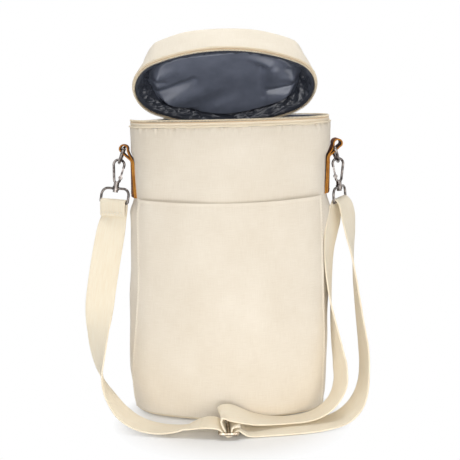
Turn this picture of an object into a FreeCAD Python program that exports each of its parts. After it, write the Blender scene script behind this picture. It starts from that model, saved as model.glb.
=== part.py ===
import FreeCAD, Part
import math
import os
import re

import Sketcher

# A two-bottle insulated carrier, in millimetres: origin under the base, +Z up, -Y the front.

SIZES = {
    "bag_width": 200, "bag_depth": 110, "end_radius": 42, "rim_height": 300,
    "canvas_thickness": 1.2, "foam_thickness": 5, "lining_thickness": 0.6, "fit_gap": 0.15,
    "canvas_drop": 8, "tape_lap": 2, "tape_thickness": 0.9, "coil_radius": 0.9, "welt_radius": 0.9,
    "foam_drop": 2, "piping_radius": 2.1, "piping_inset": 1.2,
    "board_thickness": 2, "base_foam_thickness": 5, "divider_thickness": 6, "divider_height": 240,
    "pocket_height": 219, "pocket_gap": 7, "pocket_seam": 20, "pocket_ease": 0.25,
    "lid_inset": 2, "lid_depth": 36, "lid_edge_radius": 10, "lid_lift": 5, "lid_foam_thickness": 4,
    "lid_open_angle": 38, "zip_gap_half": 52, "strip_side_gap": 0.5, "fold_gap": 0.2,
    "slider_place": 62, "slider_length": 9, "slider_thickness": 2.2, "bail_radius": 2.2, "bail_wire": 0.5,
    "pull_length": 20, "pull_width": 6, "pull_thickness": 1, "pull_eye_gap": 0.2,
    "tab_width": 19, "leather_thickness": 1.8, "tab_drop": 78, "tab_length": 35, "tab_overlap": 3,
    "ring_reach": 5.5, "ring_below": 31, "ring_half": 12.5, "ring_drop": 16, "ring_corner": 2.5,
    "ring_wire": 3, "ring_clearance": 0.3, "left_ring_tilt": 20, "right_ring_tilt": 19,
    "hook_clearance": 0.5, "hook_half": 5.3, "hook_foot": 2.8, "hook_length": 23.5, "hook_wire": 2.6,
    "heel_length": 2, "nose_length": 2.5, "left_hook_tilt": 8, "right_hook_tilt": 4,
    "left_hook_lean": 14, "right_hook_lean": 0,
    "pivot_rise": 1, "cheek_radius": 2, "cheek_width": 3.2, "knuckle_radius": 1.2, "knuckle_width": 1.2,
    "pivot_gap": 0.2, "pin_radius": 0.6, "pin_gap": 0.05, "gate_width": 1.8, "gate_gap": 0.3,
    "collar_radius": 2.8, "collar_height": 3.7, "stem_radius": 1.5, "swivel_gap": 0.2,
    "head_radius": 2.6, "head_height": 1.8, "boss_radius": 3.4, "boss_height": 4,
    "loop_height": 14.3, "loop_corner": 1.5, "loop_shoulder": 7, "loop_wire": 2.6, "loop_side_gap": 0.4,
    "left_loop_turn": -28, "right_loop_turn": 59,
    "strap_width": 29, "strap_thickness": 1.6, "strap_gap": 0.25, "tail_length": 20,
    "glide_x": -5.5, "glide_standoff": 30, "glide_half": 8.6, "glide_wire": 3, "glide_corner": 1.8,
}

V = FreeCAD.Vector
doc = FreeCAD.newDocument("bottle_carrier")
sheet = doc.addObject("Spreadsheet::Sheet", "Sizes")
for row, (alias, number) in enumerate(SIZES.items(), 1):
    sheet.set("A%d" % row, alias)
    sheet.set("B%d" % row, str(number))
    sheet.setAlias("B%d" % row, alias)
doc.recompute()

# Heights and insets that several pieces share, as expressions of the sheet's names.
CENTRE_X = "(bag_width / 2 - end_radius)"
CANVAS_TOP = "(rim_height - canvas_drop)"
TAPE_BOTTOM = "(rim_height - canvas_drop - tape_lap)"
TAPE_OUT = "(canvas_thickness + fit_gap)"
TAPE_IN = "(canvas_thickness + fit_gap + tape_thickness)"
FOAM_UPPER = "(canvas_thickness + 2 * fit_gap + tape_thickness)"
FLANGE_OUT = "(canvas_thickness + 2 * fit_gap + tape_thickness / 2 + coil_radius)"
FOAM_IN = "(canvas_thickness + fit_gap + foam_thickness)"
LINING_OUT = "(canvas_thickness + 2 * fit_gap + foam_thickness)"
LINING_IN = "(canvas_thickness + 2 * fit_gap + foam_thickness + lining_thickness)"
WELT_INSET = "(canvas_thickness - welt_radius)"
BASE_INSET = "(piping_inset + piping_radius + fit_gap)"
WALL_BOTTOM = "(2 * piping_radius + 2 * fit_gap)"
BOARD_Z = "(canvas_thickness + fit_gap)"
BASE_FOAM_Z = "(canvas_thickness + board_thickness + 2 * fit_gap)"
INNER_Z = "(canvas_thickness + board_thickness + base_foam_thickness + 3 * fit_gap)"
FLOOR_Z = "(canvas_thickness + board_thickness + base_foam_thickness + lining_thickness + 4 * fit_gap)"
RIM_FLANGE_Z = "(rim_height - foam_drop + fit_gap)"
LID_BOTTOM = "(rim_height + lid_lift)"
LID_SEAM = "(rim_height + lid_depth - lid_edge_radius - 1)"
LID_TOP = "(rim_height + lid_depth)"
LID_FLANGE_Z = "(rim_height + foam_drop)"
TAB_BOTTOM = "(rim_height - tab_drop)"
TAB_ROOT = "(rim_height - tab_drop + tab_length)"
RING_Z = "(rim_height - ring_below)"
HOOK_RISE = "(ring_wire / 2 + hook_wire / 2 + hook_clearance)"
EYE_TOP = "(%s - hook_half)" % HOOK_RISE
EYE_LOW = "(%s - hook_length + hook_foot)" % HOOK_RISE
LEG_SLANT = "((hook_half - hook_foot) / (hook_length - hook_half - hook_foot))"
LEG_RISE = "(sqrt(1 - %s * %s))" % (LEG_SLANT, LEG_SLANT)
LEG_LENGTH = "((hook_length - hook_half - hook_foot) * %s)" % LEG_RISE
COLLAR_Z = "(%s - hook_length)" % HOOK_RISE
BOSS_TOP = "(%s - collar_height - swivel_gap)" % COLLAR_Z
BOSS_LOW = "(%s - boss_height)" % BOSS_TOP
LOOP_TOP = "(%s - boss_height / 2)" % BOSS_TOP
LOOP_LOW = "(%s - loop_height)" % LOOP_TOP
LOOP_HALF = "(strap_width / 2 + loop_side_gap + loop_wire / 2)"
GLIDE_HALF_Y = "(strap_width / 2 + loop_side_gap + glide_wire / 2)"

nodes = {}


def on_leg(along, aside="0"):
    """X and Z of a point on the hook eye's gated leg, from its foot upwards and to its outside."""
    return ("(-(hook_foot + %s) * %s - (%s) * %s)" % (aside, LEG_RISE, along, LEG_SLANT),
            "(%s - (hook_foot + %s) * %s + (%s) * %s)" % (EYE_LOW, aside, LEG_SLANT, along, LEG_RISE))


PIVOT_X, PIVOT_Z = on_leg("heel_length + pivot_rise")


def named(expression):
    """Point every size name in an expression at its cell in the sheet."""
    return re.sub(r"[a-z_][a-z_0-9]*", lambda m: "Sizes." + m.group() if m.group() in SIZES else m.group(),
                  str(expression))


def size(expression):
    """The present value of an expression of the sheet's names."""
    return float(sheet.evalExpression(named(expression)))


def bind(thing, **properties):
    """Bind properties to expressions; a double underscore stands for a dot."""
    for name, expression in properties.items():
        thing.setExpression(name.replace("__", "."), named(expression))


def new_body(label):
    return doc.addObject("PartDesign::Body", label)


def new_sketch(body, name, role="XY_Plane", offset="0"):
    """A sketch on one of the body's own planes, moved along its normal by an expression."""
    sketch = body.newObject("Sketcher::SketchObject", name)
    plane = [f for f in body.Origin.OriginFeatures if f.Role == role][0]
    sketch.AttachmentSupport = [(plane, "")]
    sketch.MapMode = "FlatFace"
    bind(sketch, AttachmentOffset__Base__z=offset)
    return sketch


def dim(sketch, name, expression, kind, *where):
    """A named dimension whose value comes from the sheet."""
    index = sketch.addConstraint(Sketcher.Constraint(kind, *where, size(expression)))
    sketch.renameConstraint(index, name)
    sketch.setExpression("Constraints." + name, named(expression))


def rule(sketch, kind, *where):
    sketch.addConstraint(Sketcher.Constraint(kind, *where))


def arc(x, y, radius, start, end):
    whole = Part.Circle(V(x, y, 0), V(0, 0, 1), radius)
    return Part.ArcOfCircle(whole, math.radians(start), math.radians(end))


def line(x0, y0, x1, y1):
    return Part.LineSegment(V(x0, y0, 0), V(x1, y1, 0))


def front_centre(half_depth):
    """How far behind the middle the long arcs of an oval of this half depth have their centre."""
    return "((%s ^ 2 + (%s) ^ 2 - end_radius ^ 2) / (2 * (%s) - 2 * end_radius) - (%s))" % (
        CENTRE_X, half_depth, half_depth, half_depth)


def oval_loop(sketch, tag, inset, half_depth="bag_depth / 2"):
    """Four tangent arcs: the bag's oval, drawn inside its outline by an inset."""
    xe, yc = size(CENTRE_X), size(front_centre(half_depth))
    turn = math.degrees(math.atan2(yc, xe))
    end = size("end_radius") - size(inset)
    long = yc + size(half_depth) - size(inset)
    right, back, left, front = sketch.addGeometry([
        arc(xe, 0, end, -turn, turn), arc(0, -yc, long, turn, 180 - turn),
        arc(-xe, 0, end, 180 - turn, 180 + turn), arc(0, yc, long, 180 + turn, 360 - turn)], False)
    for first, second in ((right, back), (back, left), (left, front), (front, right)):
        rule(sketch, "Tangent", first, 2, second, 1)
    rule(sketch, "PointOnObject", right, 3, -1)
    rule(sketch, "PointOnObject", left, 3, -1)
    rule(sketch, "Equal", right, left)
    dim(sketch, tag + "_right", CENTRE_X, "DistanceX", -1, 1, right, 3)
    dim(sketch, tag + "_left", CENTRE_X, "DistanceX", left, 3, -1, 1)
    dim(sketch, tag + "_front", front_centre(half_depth), "DistanceY", -1, 1, front, 3)
    dim(sketch, tag + "_back", front_centre(half_depth), "DistanceY", back, 3, -1, 1)
    dim(sketch, tag + "_end", "end_radius - (%s)" % inset, "Radius", right)


def oval_pad(body, name, bottom, top, outer, inner=None):
    """A padded oval, or a padded wall between two ovals."""
    sketch = new_sketch(body, name + "_outline", offset=bottom)
    oval_loop(sketch, "outer", outer)
    if inner is not None:
        oval_loop(sketch, "inner", inner)
    pad = body.newObject("PartDesign::Pad", name)
    pad.Profile = sketch
    bind(pad, Length="(%s) - (%s)" % (top, bottom))
    return pad


def rectangle(sketch, left, right, front, back):
    """A rectangle whose four sides lie at expressions measured from the origin."""
    x0, x1, y0, y1 = (size(e) for e in (left, right, front, back))
    a, b, c, d = sketch.addGeometry([line(x0, y0, x1, y0), line(x1, y0, x1, y1),
                                     line(x1, y1, x0, y1), line(x0, y1, x0, y0)], False)
    for first, second in ((a, b), (b, c), (c, d), (d, a)):
        rule(sketch, "Coincident", first, 2, second, 1)
    for side, kind in ((a, "Horizontal"), (c, "Horizontal"), (b, "Vertical"), (d, "Vertical")):
        rule(sketch, kind, side)
    dim(sketch, "low_x", left, "DistanceX", -1, 1, a, 1)
    dim(sketch, "high_x", right, "DistanceX", -1, 1, b, 1)
    dim(sketch, "low_y", front, "DistanceY", -1, 1, a, 1)
    dim(sketch, "high_y", back, "DistanceY", -1, 1, c, 1)


def outline(sketch, corners):
    """A closed outline of straight sides through corners, each a pair of expressions."""
    points = [[size(e) for e in corner] for corner in corners]
    g = sketch.addGeometry([line(*a, *b) for a, b in zip(points, points[1:] + points[:1])], False)
    for i, (x, y) in enumerate(corners):
        rule(sketch, "Coincident", g[i - 1], 2, g[i], 1)
        dim(sketch, "corner_x%d" % i, x, "DistanceX", -1, 1, g[i], 1)
        dim(sketch, "corner_y%d" % i, y, "DistanceY", -1, 1, g[i], 1)


def cut_down(body, name, top, depth, left, right, front, back):
    """Take a rectangular block, seen from above, out of a body."""
    before = body.Tip
    sketch = new_sketch(body, name + "_outline", offset=top)
    rectangle(sketch, left, right, front, back)
    pocket = body.newObject("PartDesign::Pocket", name)
    pocket.Profile = sketch
    bind(pocket, Length=depth)
    doc.recompute()
    if pocket.Shape.Volume >= before.Shape.Volume - 1e-6:
        raise RuntimeError("%s takes nothing away" % name)


def keep_slice(body, name, top, depth, half, keep_middle):
    """Keep or cut the stretch of the back wall that lies within half of the middle."""
    if keep_middle:
        cut_down(body, name + "_front", top, depth, "-bag_width", "bag_width", "-bag_depth", "0")
        cut_down(body, name + "_left", top, depth, "-bag_width", "-(%s)" % half, "-1", "bag_depth")
        cut_down(body, name + "_right", top, depth, half, "bag_width", "-1", "bag_depth")
    else:
        cut_down(body, name, top, depth, "-(%s)" % half, half, "0", "bag_depth")


def node(thing, label, placement=None):
    """Register a finished sub-part under the name of its file."""
    thing.Label = label
    if placement is not None:
        thing.Placement = placement
    nodes[label] = thing
    return thing


def round_bead(name, inset, height, radius):
    """A round cord along the oval, from four lengths of torus."""
    centre_y = front_centre("bag_depth / 2")
    turn = "atan(%s / %s)" % (centre_y, CENTRE_X)
    long = "(%s + bag_depth / 2 - (%s))" % (centre_y, inset)
    end = "(end_radius - (%s))" % inset
    pieces = []
    for side, major, x, y, start, sweep in (
            ("right", end, CENTRE_X, "0", "-" + turn, "2 * " + turn),
            ("back", long, "0", "-" + centre_y, turn, "180 deg - 2 * " + turn),
            ("left", end, "-" + CENTRE_X, "0", "180 deg - " + turn, "2 * " + turn),
            ("front", long, "0", centre_y, "180 deg + " + turn, "180 deg - 2 * " + turn)):
        piece = doc.addObject("Part::Torus", name + "_" + side)
        piece.Placement = FreeCAD.Placement(V(), FreeCAD.Rotation(V(0, 0, 1), 10))
        bind(piece, Radius1=major, Radius2=radius, Angle3=sweep, Placement__Base__x=x,
             Placement__Base__y=y, Placement__Base__z=height, Placement__Rotation__Angle=start)
        pieces.append(piece)
    bead = doc.addObject("Part::MultiFuse", name)
    bead.Shapes = pieces
    return bead


def cut_back(bead, name, half, height):
    """Leave out the back stretch of a bead, where the lid's hinge is."""
    block = doc.addObject("Part::Box", name + "_block")
    bind(block, Length="2 * (%s)" % half, Width="bag_depth", Height="20", Placement__Base__x="-(%s)" % half,
         Placement__Base__z="(%s) - 10" % height)
    cut = doc.addObject("Part::Cut", name)
    cut.Base = bead
    cut.Tool = block
    return cut


def cap(name, inset, bottom, top, radius):
    """An oval block with a rounded top edge."""
    body = new_body(name)
    pad = oval_pad(body, name + "_pad", bottom, top, inset)
    doc.recompute()
    level = size(top)
    edges = ["Edge%d" % i for i, e in enumerate(pad.Shape.Edges, 1)
             if all(abs(v.Z - level) < 1e-6 for v in e.Vertexes)]
    fillet = body.newObject("PartDesign::Fillet", name + "_round")
    fillet.Base = (pad, edges)
    bind(fillet, Radius=radius)
    return body


def shell_cap(name, inset, bottom, top, radius, thickness):
    """A rounded oval cap, open below, of one thickness."""
    cut = doc.addObject("Part::Cut", name)
    cut.Base = cap(name + "_outside", inset, bottom, top, radius)
    cut.Tool = cap(name + "_inside", "%s + (%s)" % (inset, thickness), "(%s) - 1" % bottom,
                   "(%s) - (%s)" % (top, thickness), "(%s) - (%s)" % (radius, thickness))
    return cut


def circle(sketch, x, y, radius):
    """A circle centred at two expressions."""
    index = sketch.addGeometry(Part.Circle(V(size(x), size(y), 0), V(0, 0, 1), size(radius)), False)
    dim(sketch, "centre_x%d" % index, x, "DistanceX", -1, 1, index, 3)
    dim(sketch, "centre_y%d" % index, y, "DistanceY", -1, 1, index, 3)
    dim(sketch, "radius%d" % index, radius, "Radius", index)


def sweep(body, name, profile, path):
    pipe = body.newObject("PartDesign::AdditivePipe", name)
    pipe.Profile = profile
    pipe.Spine = (path, [])
    return pipe


def rounded_frame(body, name, role, half, low, high, corner, shoulder, radius):
    """A closed frame of round wire in one plane of the body, with low corners and high shoulders."""
    hx, y0, y1, c, s = (size(e) for e in (half, low, high, corner, shoulder))
    path = new_sketch(body, name + "_path", role)
    g = path.addGeometry([
        line(c - hx, y0, hx - c, y0), arc(hx - c, y0 + c, c, -90, 0), line(hx, y0 + c, hx, y1 - s),
        arc(hx - s, y1 - s, s, 0, 90), line(hx - s, y1, s - hx, y1), arc(s - hx, y1 - s, s, 90, 180),
        line(-hx, y1 - s, -hx, y0 + c), arc(c - hx, y0 + c, c, 180, 270)], False)
    for i in range(8):
        rule(path, "Tangent", g[i], 2, g[(i + 1) % 8], 1)
    for i, kind in ((0, "Horizontal"), (4, "Horizontal"), (2, "Vertical"), (6, "Vertical")):
        rule(path, kind, g[i])
    rule(path, "Equal", g[1], g[7])
    rule(path, "Equal", g[3], g[5])
    dim(path, "corner", corner, "Radius", g[1])
    dim(path, "shoulder", shoulder, "Radius", g[3])
    dim(path, "low", low, "DistanceY", -1, 1, g[0], 1)
    dim(path, "high", high, "DistanceY", -1, 1, g[4], 1)
    dim(path, "right", half, "DistanceX", -1, 1, g[2], 1)
    dim(path, "left", half, "DistanceX", g[6], 1, -1, 1)
    start = "%s - (%s)" % (corner, half)
    profile = new_sketch(body, name + "_wire", "YZ_Plane", offset=start)
    if role == "XZ_Plane":
        circle(profile, "0", low, radius)
    else:
        circle(profile, low, "0", radius)
    return sweep(body, name, profile, path)


def stepped_turn(body, name, kind, steps, levels):
    """A turned shape about Z: radii between successive levels, from the top down."""
    sketch = new_sketch(body, name + "_profile", "XZ_Plane")
    points = [("0", levels[0])]
    for i, radius in enumerate(steps):
        points.append((radius, levels[i]))
        points.append((radius, levels[i + 1]))
    points.append(("0", levels[-1]))
    count = len(points)
    g = []
    for i in range(count):
        (x0, y0), (x1, y1) = points[i], points[(i + 1) % count]
        g.append(sketch.addGeometry(line(size(x0), size(y0), size(x1), size(y1)), False))
    for i in range(count):
        rule(sketch, "Coincident", g[i], 2, g[(i + 1) % count], 1)
        rule(sketch, "Horizontal" if i % 2 == 0 else "Vertical", g[i])
    rule(sketch, "PointOnObject", g[0], 1, -2)
    for i, radius in enumerate(steps):
        dim(sketch, "radius%d" % i, radius, "DistanceX", -1, 1, g[2 * i + 1], 1)
    for i, level in enumerate(levels):
        dim(sketch, "level%d" % i, level, "DistanceY", -1, 1, g[2 * i], 1)
    turned = body.newObject("PartDesign::" + kind, name)
    turned.Profile = sketch
    turned.ReferenceAxis = (sketch, ["V_Axis"])
    turned.Angle = 360
    return turned


def across(body, name, kind, length, draw):
    """Pad or pocket a sketch on the XZ plane by the same amount to both sides."""
    sketch = new_sketch(body, name + "_outline", "XZ_Plane")
    draw(sketch)
    feature = body.newObject("PartDesign::" + kind, name)
    feature.Profile = sketch
    feature.Midplane = True
    bind(feature, Length=length)
    return feature


# The canvas outside of the bag, with its base, piping and turned top edge.
wall = new_body("canvas_wall")
oval_pad(wall, "wall_pad", WALL_BOTTOM, CANVAS_TOP, "0", "canvas_thickness")
node(wall, "canvas_wall")
base = new_body("canvas_base")
oval_pad(base, "base_pad", "0", "canvas_thickness", BASE_INSET)
node(base, "canvas_base")
node(round_bead("base_piping", "piping_inset", "piping_radius + fit_gap", "piping_radius"), "base_piping")
WELT_Z = "(%s + fit_gap + welt_radius)" % CANVAS_TOP
welt = round_bead("rim_welt_ring", WELT_INSET, WELT_Z, "welt_radius")
node(cut_back(welt, "rim_welt", "zip_gap_half", WELT_Z), "rim_welt")

# The stiff board, the foam and the wipe-clean lining inside it.
board = new_body("base_board")
oval_pad(board, "board_pad", BOARD_Z, "%s + board_thickness" % BOARD_Z, BASE_INSET)
node(board, "base_board")
pad_foam = new_body("base_foam")
oval_pad(pad_foam, "base_foam_pad", BASE_FOAM_Z, "%s + base_foam_thickness" % BASE_FOAM_Z, BASE_INSET)
node(pad_foam, "base_foam")
foam = new_body("wall_foam")
oval_pad(foam, "foam_lower", INNER_Z, "%s - fit_gap" % TAPE_BOTTOM, TAPE_OUT, FOAM_IN)
oval_pad(foam, "foam_upper", "%s - fit_gap" % TAPE_BOTTOM, "rim_height - foam_drop", FOAM_UPPER, FOAM_IN)
node(foam, "wall_foam")
lining = new_body("wall_lining")
oval_pad(lining, "lining_tube", INNER_Z, RIM_FLANGE_Z, LINING_OUT, LINING_IN)
oval_pad(lining, "lining_flange", RIM_FLANGE_Z, "%s + lining_thickness" % RIM_FLANGE_Z, FLANGE_OUT, LINING_IN)
node(lining, "wall_lining")
floor = new_body("base_lining")
oval_pad(floor, "floor_pad", INNER_Z, "%s + lining_thickness" % INNER_Z, "%s + fit_gap" % LINING_IN)
node(floor, "base_lining")
divider = doc.addObject("Part::Box", "bottle_divider")
bind(divider, Length="divider_thickness", Width="bag_depth - 2 * %s - 4 * fit_gap" % LINING_IN,
     Height="divider_height - %s" % FLOOR_Z, Placement__Base__x="-divider_thickness / 2",
     Placement__Base__y="%s + 2 * fit_gap - bag_depth / 2" % LINING_IN, Placement__Base__z=FLOOR_Z)
node(divider, "bottle_divider")

# The slip pocket: closed to the wall at the base and standing open at its top edge.
pocket = new_body("front_pocket")
POCKET_TOP = "bag_depth / 2 + pocket_gap"
for stage, kind, offset in (("outside", "AdditiveLoft", "-(fit_gap + pocket_ease + canvas_thickness)"),
                            ("inside", "SubtractiveLoft", "-(fit_gap + pocket_ease)")):
    low = new_sketch(pocket, "pocket_%s_low" % stage, offset=WALL_BOTTOM)
    oval_loop(low, "loop", offset)
    high = new_sketch(pocket, "pocket_%s_high" % stage, offset="pocket_height")
    oval_loop(high, "loop", offset, POCKET_TOP)
    loft = pocket.newObject("PartDesign::" + kind, "pocket_" + stage)
    loft.Profile = low
    loft.Sections = [high]
    loft.Ruled = True
    doc.recompute()
cut_down(pocket, "pocket_back", "pocket_height + 1", "pocket_height + 2", "-bag_width", "bag_width",
         "-pocket_seam", "bag_depth")
node(pocket, "front_pocket")

# The bag's half of the zip, and its leaf of the canvas hinge strip at the back.
COIL_INSET = "(canvas_thickness + fit_gap + tape_thickness / 2)"
TAPE_TOP = "(rim_height - 2 * coil_radius - 2 * fit_gap)"
tape = new_body("zip_tape_bag")
oval_pad(tape, "tape_ring", TAPE_BOTTOM, TAPE_TOP, TAPE_OUT, TAPE_IN)
doc.recompute()
keep_slice(tape, "tape_gap", "rim_height + 1", "canvas_drop + tape_lap + 2", "zip_gap_half", False)
node(tape, "zip_tape_bag")
COIL_Z = "(rim_height - fit_gap - coil_radius)"
coil = round_bead("zip_coil_bag_ring", COIL_INSET, COIL_Z, "coil_radius")
node(cut_back(coil, "zip_coil_bag", "zip_gap_half", COIL_Z), "zip_coil_bag")
leaf = new_body("hinge_strip_bag")
oval_pad(leaf, "leaf_ring", TAPE_BOTTOM, "rim_height - fold_gap", TAPE_OUT, TAPE_IN)
doc.recompute()
keep_slice(leaf, "leaf", "rim_height + 1", "canvas_drop + tape_lap + 2",
           "zip_gap_half - strip_side_gap", True)
node(leaf, "hinge_strip_bag")

# The lid, drawn shut and then turned open about the fold of the hinge strip.
fold = V(0, size("bag_depth / 2 - %s" % TAPE_OUT), size("rim_height"))
opening = FreeCAD.Rotation(V(1, 0, 0), -size("lid_open_angle"))
lid_place = FreeCAD.Placement(fold - opening.multVec(fold), opening)
band = new_body("lid_band")
oval_pad(band, "band_pad", LID_BOTTOM, LID_SEAM, "lid_inset", "lid_inset + canvas_thickness")
node(band, "lid_band", lid_place)
node(shell_cap("lid_top", "lid_inset", "%s + fit_gap" % LID_SEAM, LID_TOP, "lid_edge_radius",
               "canvas_thickness"), "lid_top", lid_place)
LID_SKIN = "(canvas_thickness + fit_gap)"
LID_CORE = "(canvas_thickness + 2 * fit_gap + lid_foam_thickness)"
node(shell_cap("lid_foam", "lid_inset + %s" % LID_SKIN, "%s + tape_lap + fit_gap" % LID_BOTTOM,
               "%s - %s" % (LID_TOP, LID_SKIN), "lid_edge_radius - %s" % LID_SKIN, "lid_foam_thickness"),
     "lid_foam", lid_place)
lid_cup = shell_cap("lid_lining_cup", "lid_inset + %s" % LID_CORE, LID_FLANGE_Z,
                    "%s - %s" % (LID_TOP, LID_CORE), "lid_edge_radius - %s" % LID_CORE, "lining_thickness")
lid_flange = new_body("lid_lining_flange")
oval_pad(lid_flange, "lid_flange_pad", LID_FLANGE_Z, "%s + lining_thickness" % LID_FLANGE_Z,
         "lid_inset + %s" % FOAM_UPPER, "lid_inset + %s + lining_thickness" % LID_CORE)
lid_lining = doc.addObject("Part::MultiFuse", "lid_lining")
lid_lining.Shapes = [lid_cup, lid_flange]
node(lid_lining, "lid_lining", lid_place)
LID_WELT_Z = "(%s - fit_gap - welt_radius)" % LID_BOTTOM
lid_welt = round_bead("lid_welt_ring", "lid_inset + %s" % WELT_INSET, LID_WELT_Z, "welt_radius")
node(cut_back(lid_welt, "lid_welt", "zip_gap_half", LID_WELT_Z), "lid_welt", lid_place)
lid_tape = new_body("zip_tape_lid")
oval_pad(lid_tape, "lid_tape_ring", "rim_height + 2 * coil_radius + 2 * fit_gap",
         "%s + tape_lap" % LID_BOTTOM, "lid_inset + %s" % TAPE_OUT, "lid_inset + %s" % TAPE_IN)
doc.recompute()
keep_slice(lid_tape, "lid_tape_gap", "%s + tape_lap + 1" % LID_BOTTOM, "lid_lift + tape_lap + 2",
           "zip_gap_half", False)
node(lid_tape, "zip_tape_lid", lid_place)
LID_COIL_Z = "(rim_height + fit_gap + coil_radius)"
lid_coil = round_bead("zip_coil_lid_ring", "lid_inset + %s" % COIL_INSET, LID_COIL_Z, "coil_radius")
node(cut_back(lid_coil, "zip_coil_lid", "zip_gap_half", LID_COIL_Z), "zip_coil_lid", lid_place)
lid_leaf = new_body("hinge_strip_lid")
oval_pad(lid_leaf, "lid_leaf_ring", "rim_height + fold_gap", "%s - fit_gap" % LID_BOTTOM, TAPE_OUT,
         "lid_inset + %s" % TAPE_OUT)
doc.recompute()
keep_slice(lid_leaf, "lid_leaf", "%s + 1" % LID_BOTTOM, "lid_lift + 2", "zip_gap_half - strip_side_gap", True)
node(lid_leaf, "hinge_strip_lid", lid_place)


def zip_slider():
    """The slider, parked at the back end of the zip on the bag's tape, with its bail."""
    low = "(%s + welt_radius + fit_gap)" % WELT_Z
    block = doc.addObject("Part::Box", "slider_block")
    bind(block, Length="slider_length", Width="slider_thickness", Height="rim_height - fold_gap - %s" % low,
         Placement__Base__x="-slider_length / 2", Placement__Base__z="%s - rim_height" % low)
    bail = doc.addObject("Part::Torus", "slider_bail")
    bail.Placement = FreeCAD.Placement(V(), FreeCAD.Rotation(V(0, 1, 0), 90))
    bind(bail, Radius1="bail_radius", Radius2="bail_wire", Placement__Base__y="slider_thickness",
         Placement__Base__z="(%s - rim_height - fold_gap) / 2" % low)
    slider = doc.addObject("Part::MultiFuse", "zip_slider")
    slider.Shapes = [block, bail]
    return slider


def zip_pull():
    """The flat pull tag, whose eye rides round the slider's bail."""
    body = new_body("zip_pull")
    middle = "((%s + welt_radius + fit_gap - rim_height - fold_gap) / 2)" % WELT_Z
    stand = "(bail_radius / 3)"
    back, front = "(%s - pull_thickness / 2)" % stand, "(%s + pull_thickness / 2)" % stand
    near = "sqrt((bail_radius - bail_wire) ^ 2 - %s ^ 2)" % front
    far = "sqrt((bail_radius + bail_wire) ^ 2 - %s ^ 2)" % back
    sketch = new_sketch(body, "pull_outline", "XZ_Plane", offset="-(slider_thickness + %s)" % back)
    rectangle(sketch, "-pull_width / 2", "pull_width / 2", "%s - pull_length" % middle, middle)
    eye = "(%s - %s) / 2 + pull_eye_gap" % (far, near)
    circle(sketch, "0", "%s - (%s + %s) / 2" % (middle, near, far), eye)
    pad = body.newObject("PartDesign::Pad", "pull_pad")
    pad.Profile = sketch
    pad.Reversed = True
    bind(pad, Length="pull_thickness")
    return body


# The slider stands on the outside of the coil, square to the curve of the back wall.
yc = size(front_centre("bag_depth / 2"))
radius_out = yc + size("bag_depth / 2") - size("%s - coil_radius - fit_gap" % COIL_INSET)
swing = math.asin(size("slider_place") / radius_out)
slider_place = FreeCAD.Placement(
    V(-radius_out * math.sin(swing), radius_out * math.cos(swing) - yc, size("rim_height")),
    FreeCAD.Rotation(V(0, 0, 1), math.degrees(swing)))
node(zip_slider(), "zip_slider", slider_place)
node(zip_pull(), "zip_pull", slider_place)


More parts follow.
